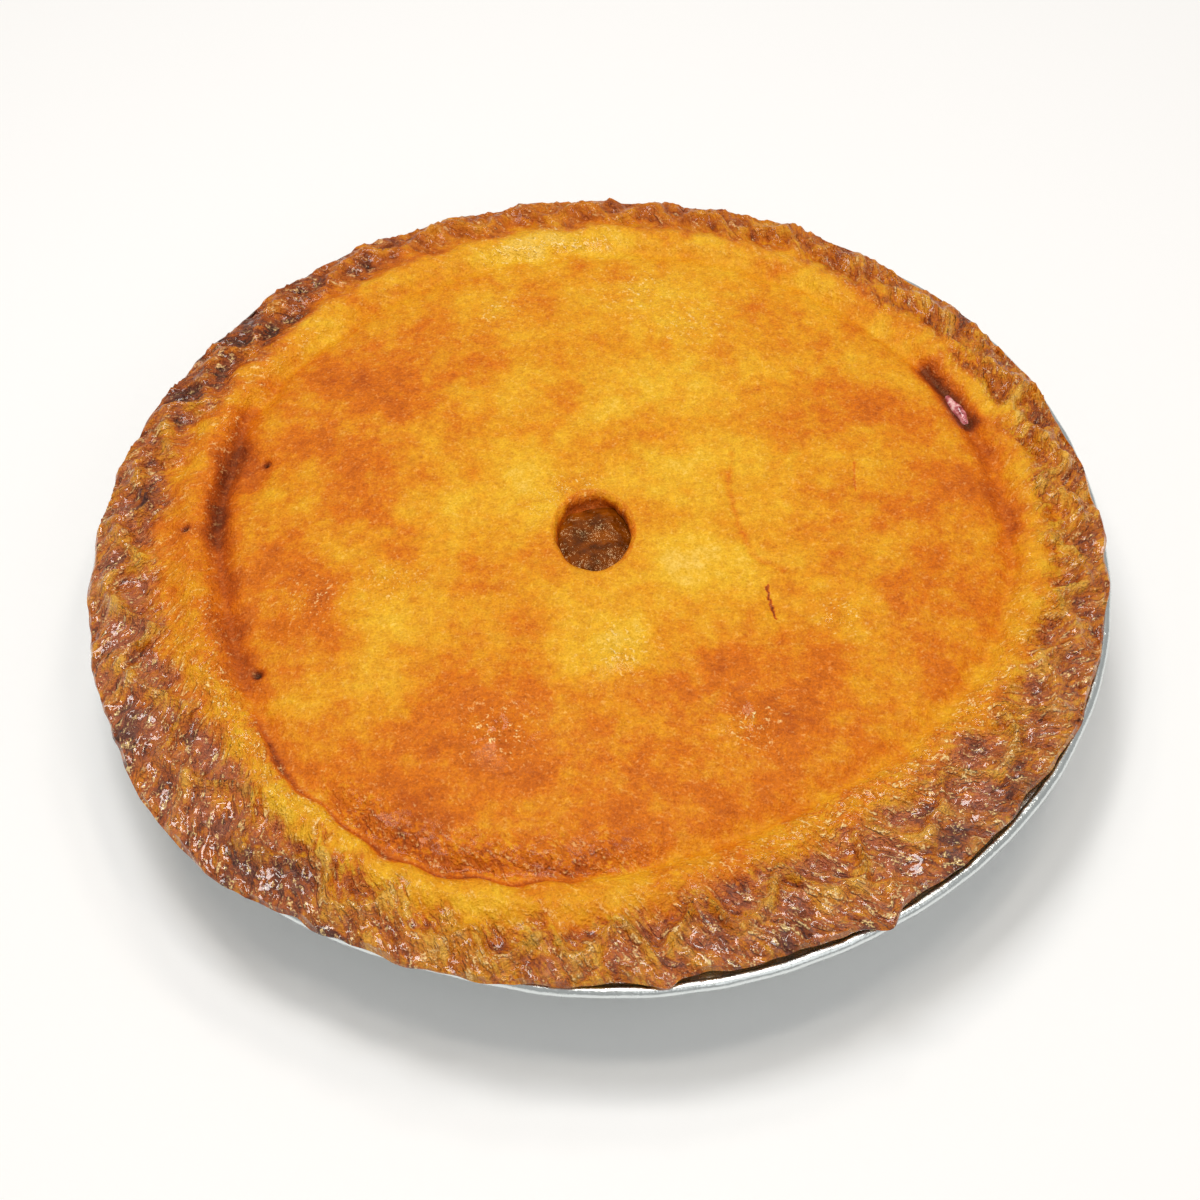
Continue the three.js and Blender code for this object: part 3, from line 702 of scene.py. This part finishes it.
charred = sum(
    bell(np.radians(degrees_between(angle, turn)) * reach, 1.5 * size) * bell(radius - reach, 0.8 * size)
    for turn, reach, size in CHARRED
)
lid_bake_and_sheen = 0.37 + spots(LID_PATCHES_AND_SHEEN) + 0.04 * uneven(x, y, 0 * x, 18, 11) + 0.02 * uneven(x, y, 0 * x, 7, 12)
shoulder_bake = 0.36 + changes_at(angle, SHOULDER_BAKE) + 0.05 * uneven(x, y, 0 * x, 6, 13)
# The groove's own red-brown tone, with painted shade where it is darker.
groove_tone_and_shade = changes_at(angle, GROOVE_TONE_AND_SHADE) * bell(outwards + 0.4, 3.6)
pockets = np.maximum(pocket, outer_pocket)
# Painted shade and light: the rim's pockets, fold hollows and ruffle valleys are made darker and its crests
# and crag ridges lighter. The rest is its own browning and random tone.
rim_bake_and_shade = 0.42 + changes_at(angle, RIM_BAKE) + (0.18 * pockets - 0.24 * crest) * rim_depth
rim_bake_and_shade = rim_bake_and_shade + 0.08 * small_lumps + 0.12 * (0.5 - folds) + 0.1 * uneven(x, y, z, 5, 15)
rim_bake_and_shade = rim_bake_and_shade - 0.1 * (crags - 0.4) + 0.3 * (ruffles - 0.35) * rim_depth
# Painted shade: the line where the rim lies over the lid, the pin-holes, the notch and the split's rolled
# edges are darkened.
line_shade = 0.3 * rim_line + 0.5 * np.clip(pin_hole, 0, 1) + 0.16 * notch + 0.4 * split_roll

lid_bake_and_sheen = np.minimum(lid_bake_and_sheen, 0.5)
bake_and_painted_shading = mix(lid_bake_and_sheen, shoulder_bake, smooth_step(-3.5, 1, outwards))
bake_and_painted_shading = mix(bake_and_painted_shading, rim_bake_and_shade, rim_coloured) + groove_tone_and_shade + line_shade + 0.07 * flaky
bake_and_painted_shading = bake_and_painted_shading - 0.18 * np.clip(spots(PAINTED_SHEEN), 0, 1) + 0.32 * np.clip(charred, 0, 1) * skin
mauve = changes_at(angle, MAUVE) * (0.5 + 0.9 * pockets - 0.5 * crest + 0.7 * uneven(x, y, z, 5, 17))
mauve = crimped * mauve
# Painted shade: the walls of the vent and the split get darker the deeper they go below the top.
shade_down_the_walls = mix(0.42, 0.68, smooth_step(0.3, 2.4, PLAIN_TOP - plain_height))
hidden = ~(on_top | lip_side | vent_wall) & (plain_radius > 20)
glossy_shoulder = shoulder * (0.05 + changes_at(angle, [(215, 26, 0.6), (312, 30, 0.6), (150, 16, 0.3)]))
glossy_rim = rim_coloured * (0.5 + changes_at(angle, [(75, 75, -0.3), (212, 30, 0.35), (310, 30, 0.35)]))
keep_value(crust, "bake_and_painted_shading", np.where(on_top | lip_side, bake_and_painted_shading, shade_down_the_walls))
keep_value(crust, "mauve", np.where(on_top, mauve, 0))
keep_value(crust, "char", charred * (0.7 + 0.5 * small_lumps) * skin)
keep_value(crust, "crimped", rim_coloured)
wrinkled = np.maximum(crimped * rim_depth, np.maximum(0.5 * flaky, 0.32 * shoulder * wrinkly))
keep_value(crust, "wrinkled", wrinkled)
keep_value(crust, "gloss", spots(GLOSSY) + glossy_shoulder + glossy_rim + 0.2 * flaky)
keep_value(crust, "plain_dough", hidden * 1.0)

# %% [markdown]
# ## Coordinates for the finest wrinkles
# The wrinkles that are finer than the mesh belong to the material. This stored vector lets its noise
# run across the rim and lean a little, as the fingers dragged the dough. Further in, the circle
# shrinks with the place, so that the noise doesn't bunch up towards the middle of the lid.


# %% Store the wrinkle coordinates
def keep_vector(piece, name, across, along, third):
    stored = piece.data.attributes.new(name, "FLOAT_VECTOR", "POINT")
    stored.data.foreach_set("vector", np.stack([across, along, third], axis=1).ravel().astype(np.float32))


RIM_WIDTH = 22
ring = RING_RADIUS - np.maximum(inset - RIM_WIDTH, 0)
keep_vector(crust, "drapes", ring * np.cos(slanting), ring * np.sin(slanting), inset * 0.7)

# %% [markdown]
# ## Materials out of nodes
# Small functions write the shader trees: one adds a node with its links and values, one makes noise
# of a size in millimetres, one does arithmetic and others read stored values or blend colours.
# Heights are added up in millimetres and go through a single bump node, so every wrinkle keeps its
# real depth.


# %% Shader helpers
def add_node(tree, kind, links=None, **settings):
    made = tree.nodes.new(kind)
    for name, value in settings.items():
        setattr(made, name, value)
    for socket, source in (links or {}).items():
        if isinstance(source, bpy.types.NodeSocket):
            tree.links.new(source, made.inputs[socket])
        else:
            made.inputs[socket].default_value = source
    return made


def noise_of(tree, vector, size, detail=2.0, in_metres=True):
    scale = 1 / (size * MM) if in_metres else 1 / size
    inputs = {"Vector": vector, "Scale": scale, "Detail": detail, "Roughness": 0.6}
    made = add_node(tree, "ShaderNodeTexNoise", inputs)
    return made.outputs["Fac"]


def maths(tree, operation, first, second, clamp=False):
    made = add_node(tree, "ShaderNodeMath", {0: first, 1: second}, operation=operation, use_clamp=clamp)
    return made.outputs[0]


def centred(tree, noise_value, amount):
    """Noise between -amount and +amount instead of between 0 and 1."""
    return maths(tree, "MULTIPLY", maths(tree, "SUBTRACT", noise_value, 0.5), amount * 2)


def stored_value(tree, name, output="Fac"):
    return add_node(tree, "ShaderNodeAttribute", attribute_name=name).outputs[output]


def blend_colours(tree, share, first, second):
    made = add_node(tree, "ShaderNodeMix", data_type="RGBA")
    for socket, source in ((made.inputs[0], share), (made.inputs[6], first), (made.inputs[7], second)):
        if isinstance(source, bpy.types.NodeSocket):
            tree.links.new(source, socket)
        else:
            socket.default_value = source
    return made.outputs[2]


def from_screen(red, green, blue):
    """A colour picked from a screen, 0 to 255, as the linear values that a shader needs."""
    def linear(value):
        value = value / 255
        return value / 12.92 if value < 0.04045 else ((value + 0.055) / 1.055) ** 2.4
    return (linear(red), linear(green), linear(blue), 1)


def new_material(name):
    material = bpy.data.materials.new(name)
    material.use_nodes = True
    return material, material.node_tree, material.node_tree.nodes["Principled BSDF"]


def colour_ramp(tree, value, stops):
    made = add_node(tree, "ShaderNodeValToRGB", {"Fac": value})
    ramp = made.color_ramp
    for number, (place, colour) in enumerate(stops):
        stop = ramp.elements[number] if number < 2 else ramp.elements.new(place)
        stop.position = place
        stop.color = from_screen(*colour)
    return made.outputs["Color"]


# %% [markdown]
# ## Creases and cracks in the material
# Noise itself is soft. Folded at its middle value it gets sharp crests, and these look like creases.
# The cracks of this one pie can't come from noise. They are lines on the plan, the same ones that
# were pressed into the mesh, and the material only colours them. It shakes the place that it asks
# about by some tenths of a millimetre, so that their edges are ragged.

# %% Creases and lines
def ridged(tree, noise_value, sharpness=6.0):
    """Sharp crests between soft hollows, from a noise about one half."""
    offset = maths(tree, "ABSOLUTE", maths(tree, "SUBTRACT", noise_value, 0.5), 0.0)
    return maths(tree, "SUBTRACT", 1.0, maths(tree, "MULTIPLY", offset, sharpness), clamp=True)


def add_up(tree, start, parts):
    """A start value plus each part times its amount."""
    total = start
    for part, amount in parts:
        total = maths(tree, "ADD", total, maths(tree, "MULTIPLY", part, amount))
    return total


def vector_maths(tree, operation, first, second, output="Vector"):
    made = add_node(tree, "ShaderNodeVectorMath", {0: first, 1: second}, operation=operation)
    return made.outputs[output]


def near_line(tree, flat_place, line, width):
    """1 on a line drawn on the plan, in mm, and 0 at that width beside it."""
    nearest = 1.0
    for start, end in zip(line, line[1:]):
        start, end = (Vector((px + axis.x, py + axis.y, 0)) * MM for px, py in (start, end))
        way = end - start
        offset = vector_maths(tree, "SUBTRACT", flat_place, start)
        along = vector_maths(tree, "DOT_PRODUCT", offset, way, "Value")
        along = maths(tree, "DIVIDE", along, way.length_squared)
        along = maths(tree, "MINIMUM", maths(tree, "MAXIMUM", along, 0.0), 1.0)
        reached = add_node(tree, "ShaderNodeVectorMath", {0: way, "Scale": along}, operation="SCALE")
        apart = vector_maths(tree, "DISTANCE", offset, reached.outputs[0], "Value")
        nearest = maths(tree, "MINIMUM", nearest, maths(tree, "DIVIDE", apart, width * MM))
    return maths(tree, "SUBTRACT", 1.0, nearest, clamp=True)


# %% [markdown]
# ## The pastry's material
# Its colour comes from the browning value, which also holds painted shade and light, through one ramp
# for smooth skin and another for the crimped rim. Mauve and charred places are blended over it, and
# pale flecks of painted highlight where the egg wash shines, and the glossy places are painted a
# little lighter as sheen. The blue in both ramps is lower than it looks in the picture, because the
# pale surround adds some by reflection. For the same reason the reflection is tinted, and the coat
# is weak on smooth skin.

# %% Material of the pastry
BAKED_COLOURS = [
    (0.0, (248, 210, 110)), (1.0, (58, 24, 12)), (0.2, (236, 180, 36)), (0.36, (228, 150, 18)),
    (0.5, (216, 112, 6)), (0.64, (184, 82, 10)), (0.8, (124, 48, 12)),
]
# The pale crests and dark creases come partly from the painted light and shade in the browning value.
RIM_COLOURS = [  # from the palest crest to the darkest crease
    (0.0, (236, 174, 62)), (1.0, (66, 26, 14)), (0.25, (222, 146, 30)), (0.4, (210, 124, 16)),
    (0.55, (194, 102, 12)), (0.72, (164, 76, 14)), (0.86, (120, 50, 14)),
]


def pastry_material():
    material, tree, shader = new_material("baked pastry")
    place = add_node(tree, "ShaderNodeTexCoord").outputs["Object"]
    drapes = stored_value(tree, "drapes", "Vector")
    crimped = stored_value(tree, "crimped")
    wrinkled = stored_value(tree, "wrinkled")
    gloss = stored_value(tree, "gloss")
    grain = maths(tree, "SUBTRACT", noise_of(tree, place, 0.55, 1), 0.5)
    speckle = maths(tree, "SUBTRACT", noise_of(tree, place, 1.5, 3), 0.5)
    mottle = maths(tree, "SUBTRACT", noise_of(tree, place, 4.5, 3), 0.5)
    cloud = maths(tree, "SUBTRACT", noise_of(tree, place, 14, 3), 0.5)
    dashes = maths(tree, "SUBTRACT", noise_of(tree, drapes, 1.6, 2, in_metres=False), 0.5)
    crests = ridged(tree, noise_of(tree, place, 2.4, 3))
    creases = ridged(tree, noise_of(tree, drapes, 3.2, 3, in_metres=False), 9.0)

    uneven_ground = vector_maths(tree, "MULTIPLY", place, (1, 1, 0))
    shake = add_node(tree, "ShaderNodeTexNoise", {"Vector": place, "Scale": 1 / (1.8 * MM), "Detail": 2.0})
    shaken = vector_maths(tree, "MULTIPLY", shake.outputs["Color"], (1.6 * MM, 1.6 * MM, 0))
    flat_place = vector_maths(tree, "ADD", uneven_ground, shaken)
    flat_place = vector_maths(tree, "SUBTRACT", flat_place, (0.8 * MM, 0.8 * MM, 0))
    settled_edge = near_line(tree, flat_place, SETTLED_STEP, 1.3)
    cracks = maths(tree, "MAXIMUM", near_line(tree, flat_place, SHORT_CRACK, 0.5),
                   maths(tree, "MULTIPLY", near_line(tree, flat_place, HAIR_CRACK, 0.45), 0.35))

    bake_and_painted_shading = stored_value(tree, "bake_and_painted_shading")
    bake_and_painted_shading = add_up(tree, bake_and_painted_shading, [(cloud, 0.5), (mottle, 0.28), (speckle, -0.12), (grain, -0.12)])
    bake_and_painted_shading = add_up(tree, bake_and_painted_shading, [(settled_edge, 0.12), (cracks, 0.45)])
    # Painted shade and light: the creases are darker and the crests lighter; the dashes and speckle vary the
    # tone.
    wrinkle_shade = add_up(tree, -0.05, [(creases, 0.3), (crests, -0.12), (dashes, 0.6), (speckle, 0.4)])
    bake_and_painted_shading = maths(tree, "ADD", bake_and_painted_shading, maths(tree, "MULTIPLY", wrinkle_shade, wrinkled))
    smooth_colour = colour_ramp(tree, bake_and_painted_shading, BAKED_COLOURS)
    colour = blend_colours(tree, crimped, smooth_colour, colour_ramp(tree, bake_and_painted_shading, RIM_COLOURS))
    mauve = maths(tree, "MULTIPLY", crimped, add_up(tree, 0.0, [(dashes, 1.2), (speckle, 1.4)]))
    mauve = maths(tree, "ADD", stored_value(tree, "mauve"), mauve, clamp=True)
    colour = blend_colours(tree, maths(tree, "MULTIPLY", mauve, 0.8), colour, from_screen(186, 104, 72))
    char = add_up(tree, 0.6, [(dashes, 2.0), (speckle, 1.0), (creases, 0.4)])
    char = maths(tree, "MULTIPLY", stored_value(tree, "char"), char, clamp=True)
    colour = blend_colours(tree, char, colour, from_screen(84, 42, 40))
    colour = blend_colours(tree, stored_value(tree, "plain_dough"), colour, from_screen(214, 164, 96))
    # Painted highlights: pale flecks, most of all on the glossy places.
    painted_glints = add_up(tree, -0.17, [(grain, 1.0), (dashes, 1.7), (speckle, 0.4)])
    painted_glints = maths(tree, "MULTIPLY", painted_glints, add_up(tree, 0.5, [(gloss, 5.0)]), clamp=True)
    colour = blend_colours(tree, painted_glints, colour, from_screen(252, 216, 146))
    # Grain and speckle vary the tone; the glossy places are made lighter as painted sheen.
    lightness = add_up(tree, 0.96, [(grain, 0.45), (speckle, 0.5), (gloss, 0.1)])
    toned = add_node(tree, "ShaderNodeHueSaturation", {"Color": colour, "Value": lightness})
    tree.links.new(toned.outputs["Color"], shader.inputs["Base Color"])

    rough = add_up(tree, 0.46, [(cloud, 0.4), (gloss, -0.16)])
    tree.links.new(rough, shader.inputs["Roughness"])
    shiny = maths(tree, "MULTIPLY", gloss, add_up(tree, 0.2, [(crimped, 0.6), (wrinkled, 0.8)]))
    coat = maths(tree, "MULTIPLY", shiny, add_up(tree, 0.9, [(cloud, 2.0)]), clamp=True)
    tree.links.new(coat, shader.inputs["Coat Weight"])
    shader.inputs["Coat Roughness"].default_value = 0.07
    shader.inputs["Specular IOR Level"].default_value = 0.35
    shader.inputs["Specular Tint"].default_value = (1, 0.7, 0.4, 1)

    wrinkles = add_up(tree, 0.0, [(crests, 0.32), (creases, -0.4), (dashes, 1.0), (speckle, 0.35)])
    fine = add_up(tree, 0.0, [(grain, 0.22), (speckle, 0.45)])
    sparkle = maths(tree, "MULTIPLY", add_up(tree, 0.0, [(grain, 0.45), (dashes, 1.2)]), gloss)
    height = add_up(tree, maths(tree, "MULTIPLY", wrinkles, wrinkled), [(fine, 1.0), (sparkle, 1.0)])
    bump = add_node(tree, "ShaderNodeBump", {"Height": height, "Distance": MM, "Strength": 1.0})
    tree.links.new(bump.outputs["Normal"], shader.inputs["Normal"])
    return material


crust.data.materials.append(pastry_material())
finish_piece(crust, "pie_crust", smooth=60)

# %% [markdown]
# ## The foil tin
# The tin is pressed from one disc of aluminium foil, and its edge is rolled outwards into a bead so
# that it doesn't cut. It is one closed section too, drawn from the middle of the base out, up the
# wall, round the bead and back inside. Soft foil keeps every knock, so the bead is bent in at the
# right and at the front left, and it is a little wavy all round.


# %% Section of the tin, spun and bent
def bend(centre, size, start, end, steps):
    """Points on an arc, with angles in degrees."""
    turns = np.radians(np.linspace(start, end, steps))
    return [(centre[0] + size * math.cos(turn), centre[1] + size * math.sin(turn)) for turn in turns]


def tin_section():
    wall = FOIL * math.hypot(1, WALL_LEAN)
    lean = math.degrees(math.atan(WALL_LEAN))
    corner = 3
    touch = corner * (1 - math.sin(math.radians(lean)))
    corner_middle = (tin_inside(touch) + wall - corner * math.cos(math.radians(lean)), corner)
    bead_middle = (TIN_RIM_RADIUS - BEAD_RADIUS, TIN_DEPTH + FOIL / 2)
    joint = math.degrees(math.asin(FOIL / 2 / BEAD_RADIUS))
    flange = np.linspace(TIN_MOUTH_RADIUS + 1.2, TIN_RIM_RADIUS - 2 * BEAD_RADIUS - 0.2, 6)

    section = [(0, 0), (45, 0), (80, 0)] + bend(corner_middle, corner, -90, -lean, 7)
    section += [(tin_inside(height) + wall, height) for height in np.linspace(4, TIN_DEPTH - 0.4, 10)]
    section += [(radius, TIN_DEPTH) for radius in flange]
    section += bend(bead_middle, BEAD_RADIUS, 180 + joint, 540 - joint, 19)
    section += [(radius, TIN_DEPTH + FOIL) for radius in flange[::-1]]
    section += [(tin_inside(height), height) for height in np.linspace(TIN_DEPTH + FOIL - 0.3, 4, 10)]
    section += bend(corner_middle, corner - FOIL, -lean, -90, 7) + [(80, FOIL), (45, FOIL), (0, FOIL)]
    return section


tin = spin_section("foil_pie_tin", tin_section(), 360)
points = points_of(tin)
radius = np.hypot(points[:, 0], points[:, 1])
angle = np.arctan2(points[:, 1], points[:, 0])
on_rim = smooth_step(TIN_MOUTH_RADIUS + 2, TIN_RIM_RADIUS - 2 * BEAD_RADIUS, radius)
knocks = 0.14 * uneven(120 * np.cos(angle), 120 * np.sin(angle), 0 * angle, 7, 21)
outward = on_rim * (changes_at(angle, TIN_BENDS) + knocks) / radius.clip(1)
wall_dents = 0.1 * uneven(*points.T, 9, 22) * smooth_step(3, 8, points[:, 2]) * (1 - on_rim)
points[:, 0] *= 1 + outward
points[:, 1] *= 1 + outward
points[:, 2] += on_rim * 0.1 * uneven(120 * np.cos(angle), 120 * np.sin(angle), 0 * angle, 5, 23)
points[:, 0] += wall_dents * np.cos(angle)
points[:, 1] += wall_dents * np.sin(angle)
move_points(tin, points)


# %% Material of the foil
def foil_material():
    material, tree, shader = new_material("aluminium foil")
    place = add_node(tree, "ShaderNodeTexCoord").outputs["Object"]
    shader.inputs["Metallic"].default_value = 1
    shader.inputs["Base Color"].default_value = from_screen(222, 228, 228)
    rough = maths(tree, "ADD", 0.26, centred(tree, noise_of(tree, place, 6, 3), 0.12))
    tree.links.new(rough, shader.inputs["Roughness"])
    height = maths(tree, "MULTIPLY", noise_of(tree, place, 2.5, 3), 0.25)
    bump = add_node(tree, "ShaderNodeBump", {"Height": height, "Distance": MM, "Strength": 1.0})
    tree.links.new(bump.outputs["Normal"], shader.inputs["Normal"])
    return material


tin.data.materials.append(foil_material())
finish_piece(tin, "foil_tin")

# %% [markdown]
# ## The filling
# Most of the cooked fruit is hidden and stays coarse. Under the vent it is glossy: soft pieces of
# apple, pressed together in brown syrup. The rings are close together there, and round bumps lift
# them into lobes.


# %% Cooked filling
def filling_section():
    top = [(radius, 32.9) for radius in np.linspace(0, 15, 31)]
    ceiling = [(radius, 32.9) for radius in (20, 35, 52, 70, 85)]
    corner = CAVITY_CORNER - GAP
    floor = FOIL + 2 * GAP + PASTRY
    wall = [(tin_inside(height) - 2 * GAP - PASTRY, height) for height in (corner - 0.4, floor)]
    return top + ceiling + [(96, corner)] + wall + [(0, floor)]


APPLE_LOBES = [  # x, y, radius, rise
    (-5, 5, 4.6, 1.4), (3.6, 6, 4.4, 1.6), (5, -2.5, 4.6, 1.3), (-2, -6.5, 4.4, 1.5), (-6.5, -1.5, 3.8, 0.9),
]

filling = spin_section("cooked_filling", filling_section(), 128)
points = points_of(filling)
x, y, z = points.T
radius = np.hypot(x, y)
upper = z > 32.8
roof = top_height(x, y) - PASTRY - 0.2 - GAP
lobes = sum(rise * bell(np.hypot(x - VENT_CENTRE[0] - px, y - VENT_CENTRE[1] - py), size)
            for px, py, size, rise in APPLE_LOBES)
lobes = lobes + 0.2 * uneven(x, y, z, 3, 31)
under_vent = smooth_step(15, 11, radius)
points[:, 2] = np.where(upper, np.where(radius < 15.1, 32.7 + lobes * under_vent, roof), z)
move_points(filling, points)


# %% Material of the filling
def filling_material():
    material, tree, shader = new_material("apple in syrup")
    place = add_node(tree, "ShaderNodeTexCoord").outputs["Object"]
    cloud = noise_of(tree, place, 4, 3)
    colour = colour_ramp(tree, cloud, [(0.3, (70, 28, 0)), (0.7, (150, 76, 6)), (0.5, (114, 52, 2))])
    tree.links.new(colour, shader.inputs["Base Color"])
    shader.inputs["Roughness"].default_value = 0.16
    shader.inputs["Specular IOR Level"].default_value = 0.45
    shader.inputs["Specular Tint"].default_value = (1, 0.7, 0.36, 1)
    soft = maths(tree, "MULTIPLY", noise_of(tree, place, 3, 2), 1.2)
    height = maths(tree, "ADD", soft, maths(tree, "MULTIPLY", noise_of(tree, place, 0.7, 1), 0.16))
    bump = add_node(tree, "ShaderNodeBump", {"Height": height, "Distance": MM, "Strength": 1.0})
    tree.links.new(bump.outputs["Normal"], shader.inputs["Normal"])
    return material


syrup = filling_material()
filling.data.materials.append(syrup)
finish_piece(filling, "apple_filling")

# %% [markdown]
# ## The filling in the split
# A little of the filling has risen into the split as a glossy lump. Its colours run from dark maroon to
# a pale pink-white, and the pale end is a painted highlight. It is a ball that is drawn out along the
# groove and made lumpy.

# %% Lump in the split
LUMP_TURN = math.radians(23.5)
LUMP_REACH = 97.3
LUMP_HEIGHT = 31.3
LUMP_HALF_SIZES = (6.4, 1.6, 2.4)  # along the groove, across it and upwards

bpy.ops.mesh.primitive_ico_sphere_add(subdivisions=5, radius=1 * MM)
lump = bpy.context.object
lump.name = lump.data.name = "filling_in_split"
points = points_of(lump)
along, across, up = (points * LUMP_HALF_SIZES).T
swell = 1 + 0.16 * uneven(*(points * LUMP_HALF_SIZES).T, 2.2, 41)
turn = LUMP_TURN + along * swell / LUMP_REACH
reach = LUMP_REACH + across * swell
move_points(lump, np.stack([reach * np.cos(turn), reach * np.sin(turn), LUMP_HEIGHT + up * swell], axis=1))


def lump_material_with_painted_highlight():
    material, tree, shader = new_material("filling with painted highlight")
    place = add_node(tree, "ShaderNodeTexCoord").outputs["Object"]
    cloud = noise_of(tree, place, 1.6, 3)
    # The pale pink-white end of this ramp is painted highlight; the maroon and pink are the filling's own
    # colour.
    pinks_and_painted_highlight = [(0.34, (130, 36, 44)), (0.7, (248, 206, 200)), (0.52, (206, 112, 118))]
    colour = colour_ramp(tree, cloud, pinks_and_painted_highlight)
    tree.links.new(colour, shader.inputs["Base Color"])
    shader.inputs["Roughness"].default_value = 0.25
    shader.inputs["Coat Weight"].default_value = 0.6
    shader.inputs["Coat Roughness"].default_value = 0.08
    return material


lump.data.materials.append(lump_material_with_painted_highlight())
finish_piece(lump, "apple_filling")

# %% [markdown]
# ## Put the pie on its place
# The formulas count from the tin's axis, which is a little off the middle of the frame, because the
# rim hangs over unevenly. So all pieces are moved by that much now, inside their meshes, and their
# origins stay where the frame has its own.

# %% Move the pieces onto the tin's axis
for piece in (crust, tin, filling, lump):
    piece.data.transform(Matrix.Translation(Vector((axis.x, axis.y, 0)) * MM))

# %% Size beside the frame's, and the end
finished_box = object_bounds()
for name, (low, high) in (("frame", frame_box), ("scene", finished_box)):
    print(name, [round(value / MM, 2) for value in low], "to", [round(value / MM, 2) for value in high], "mm")
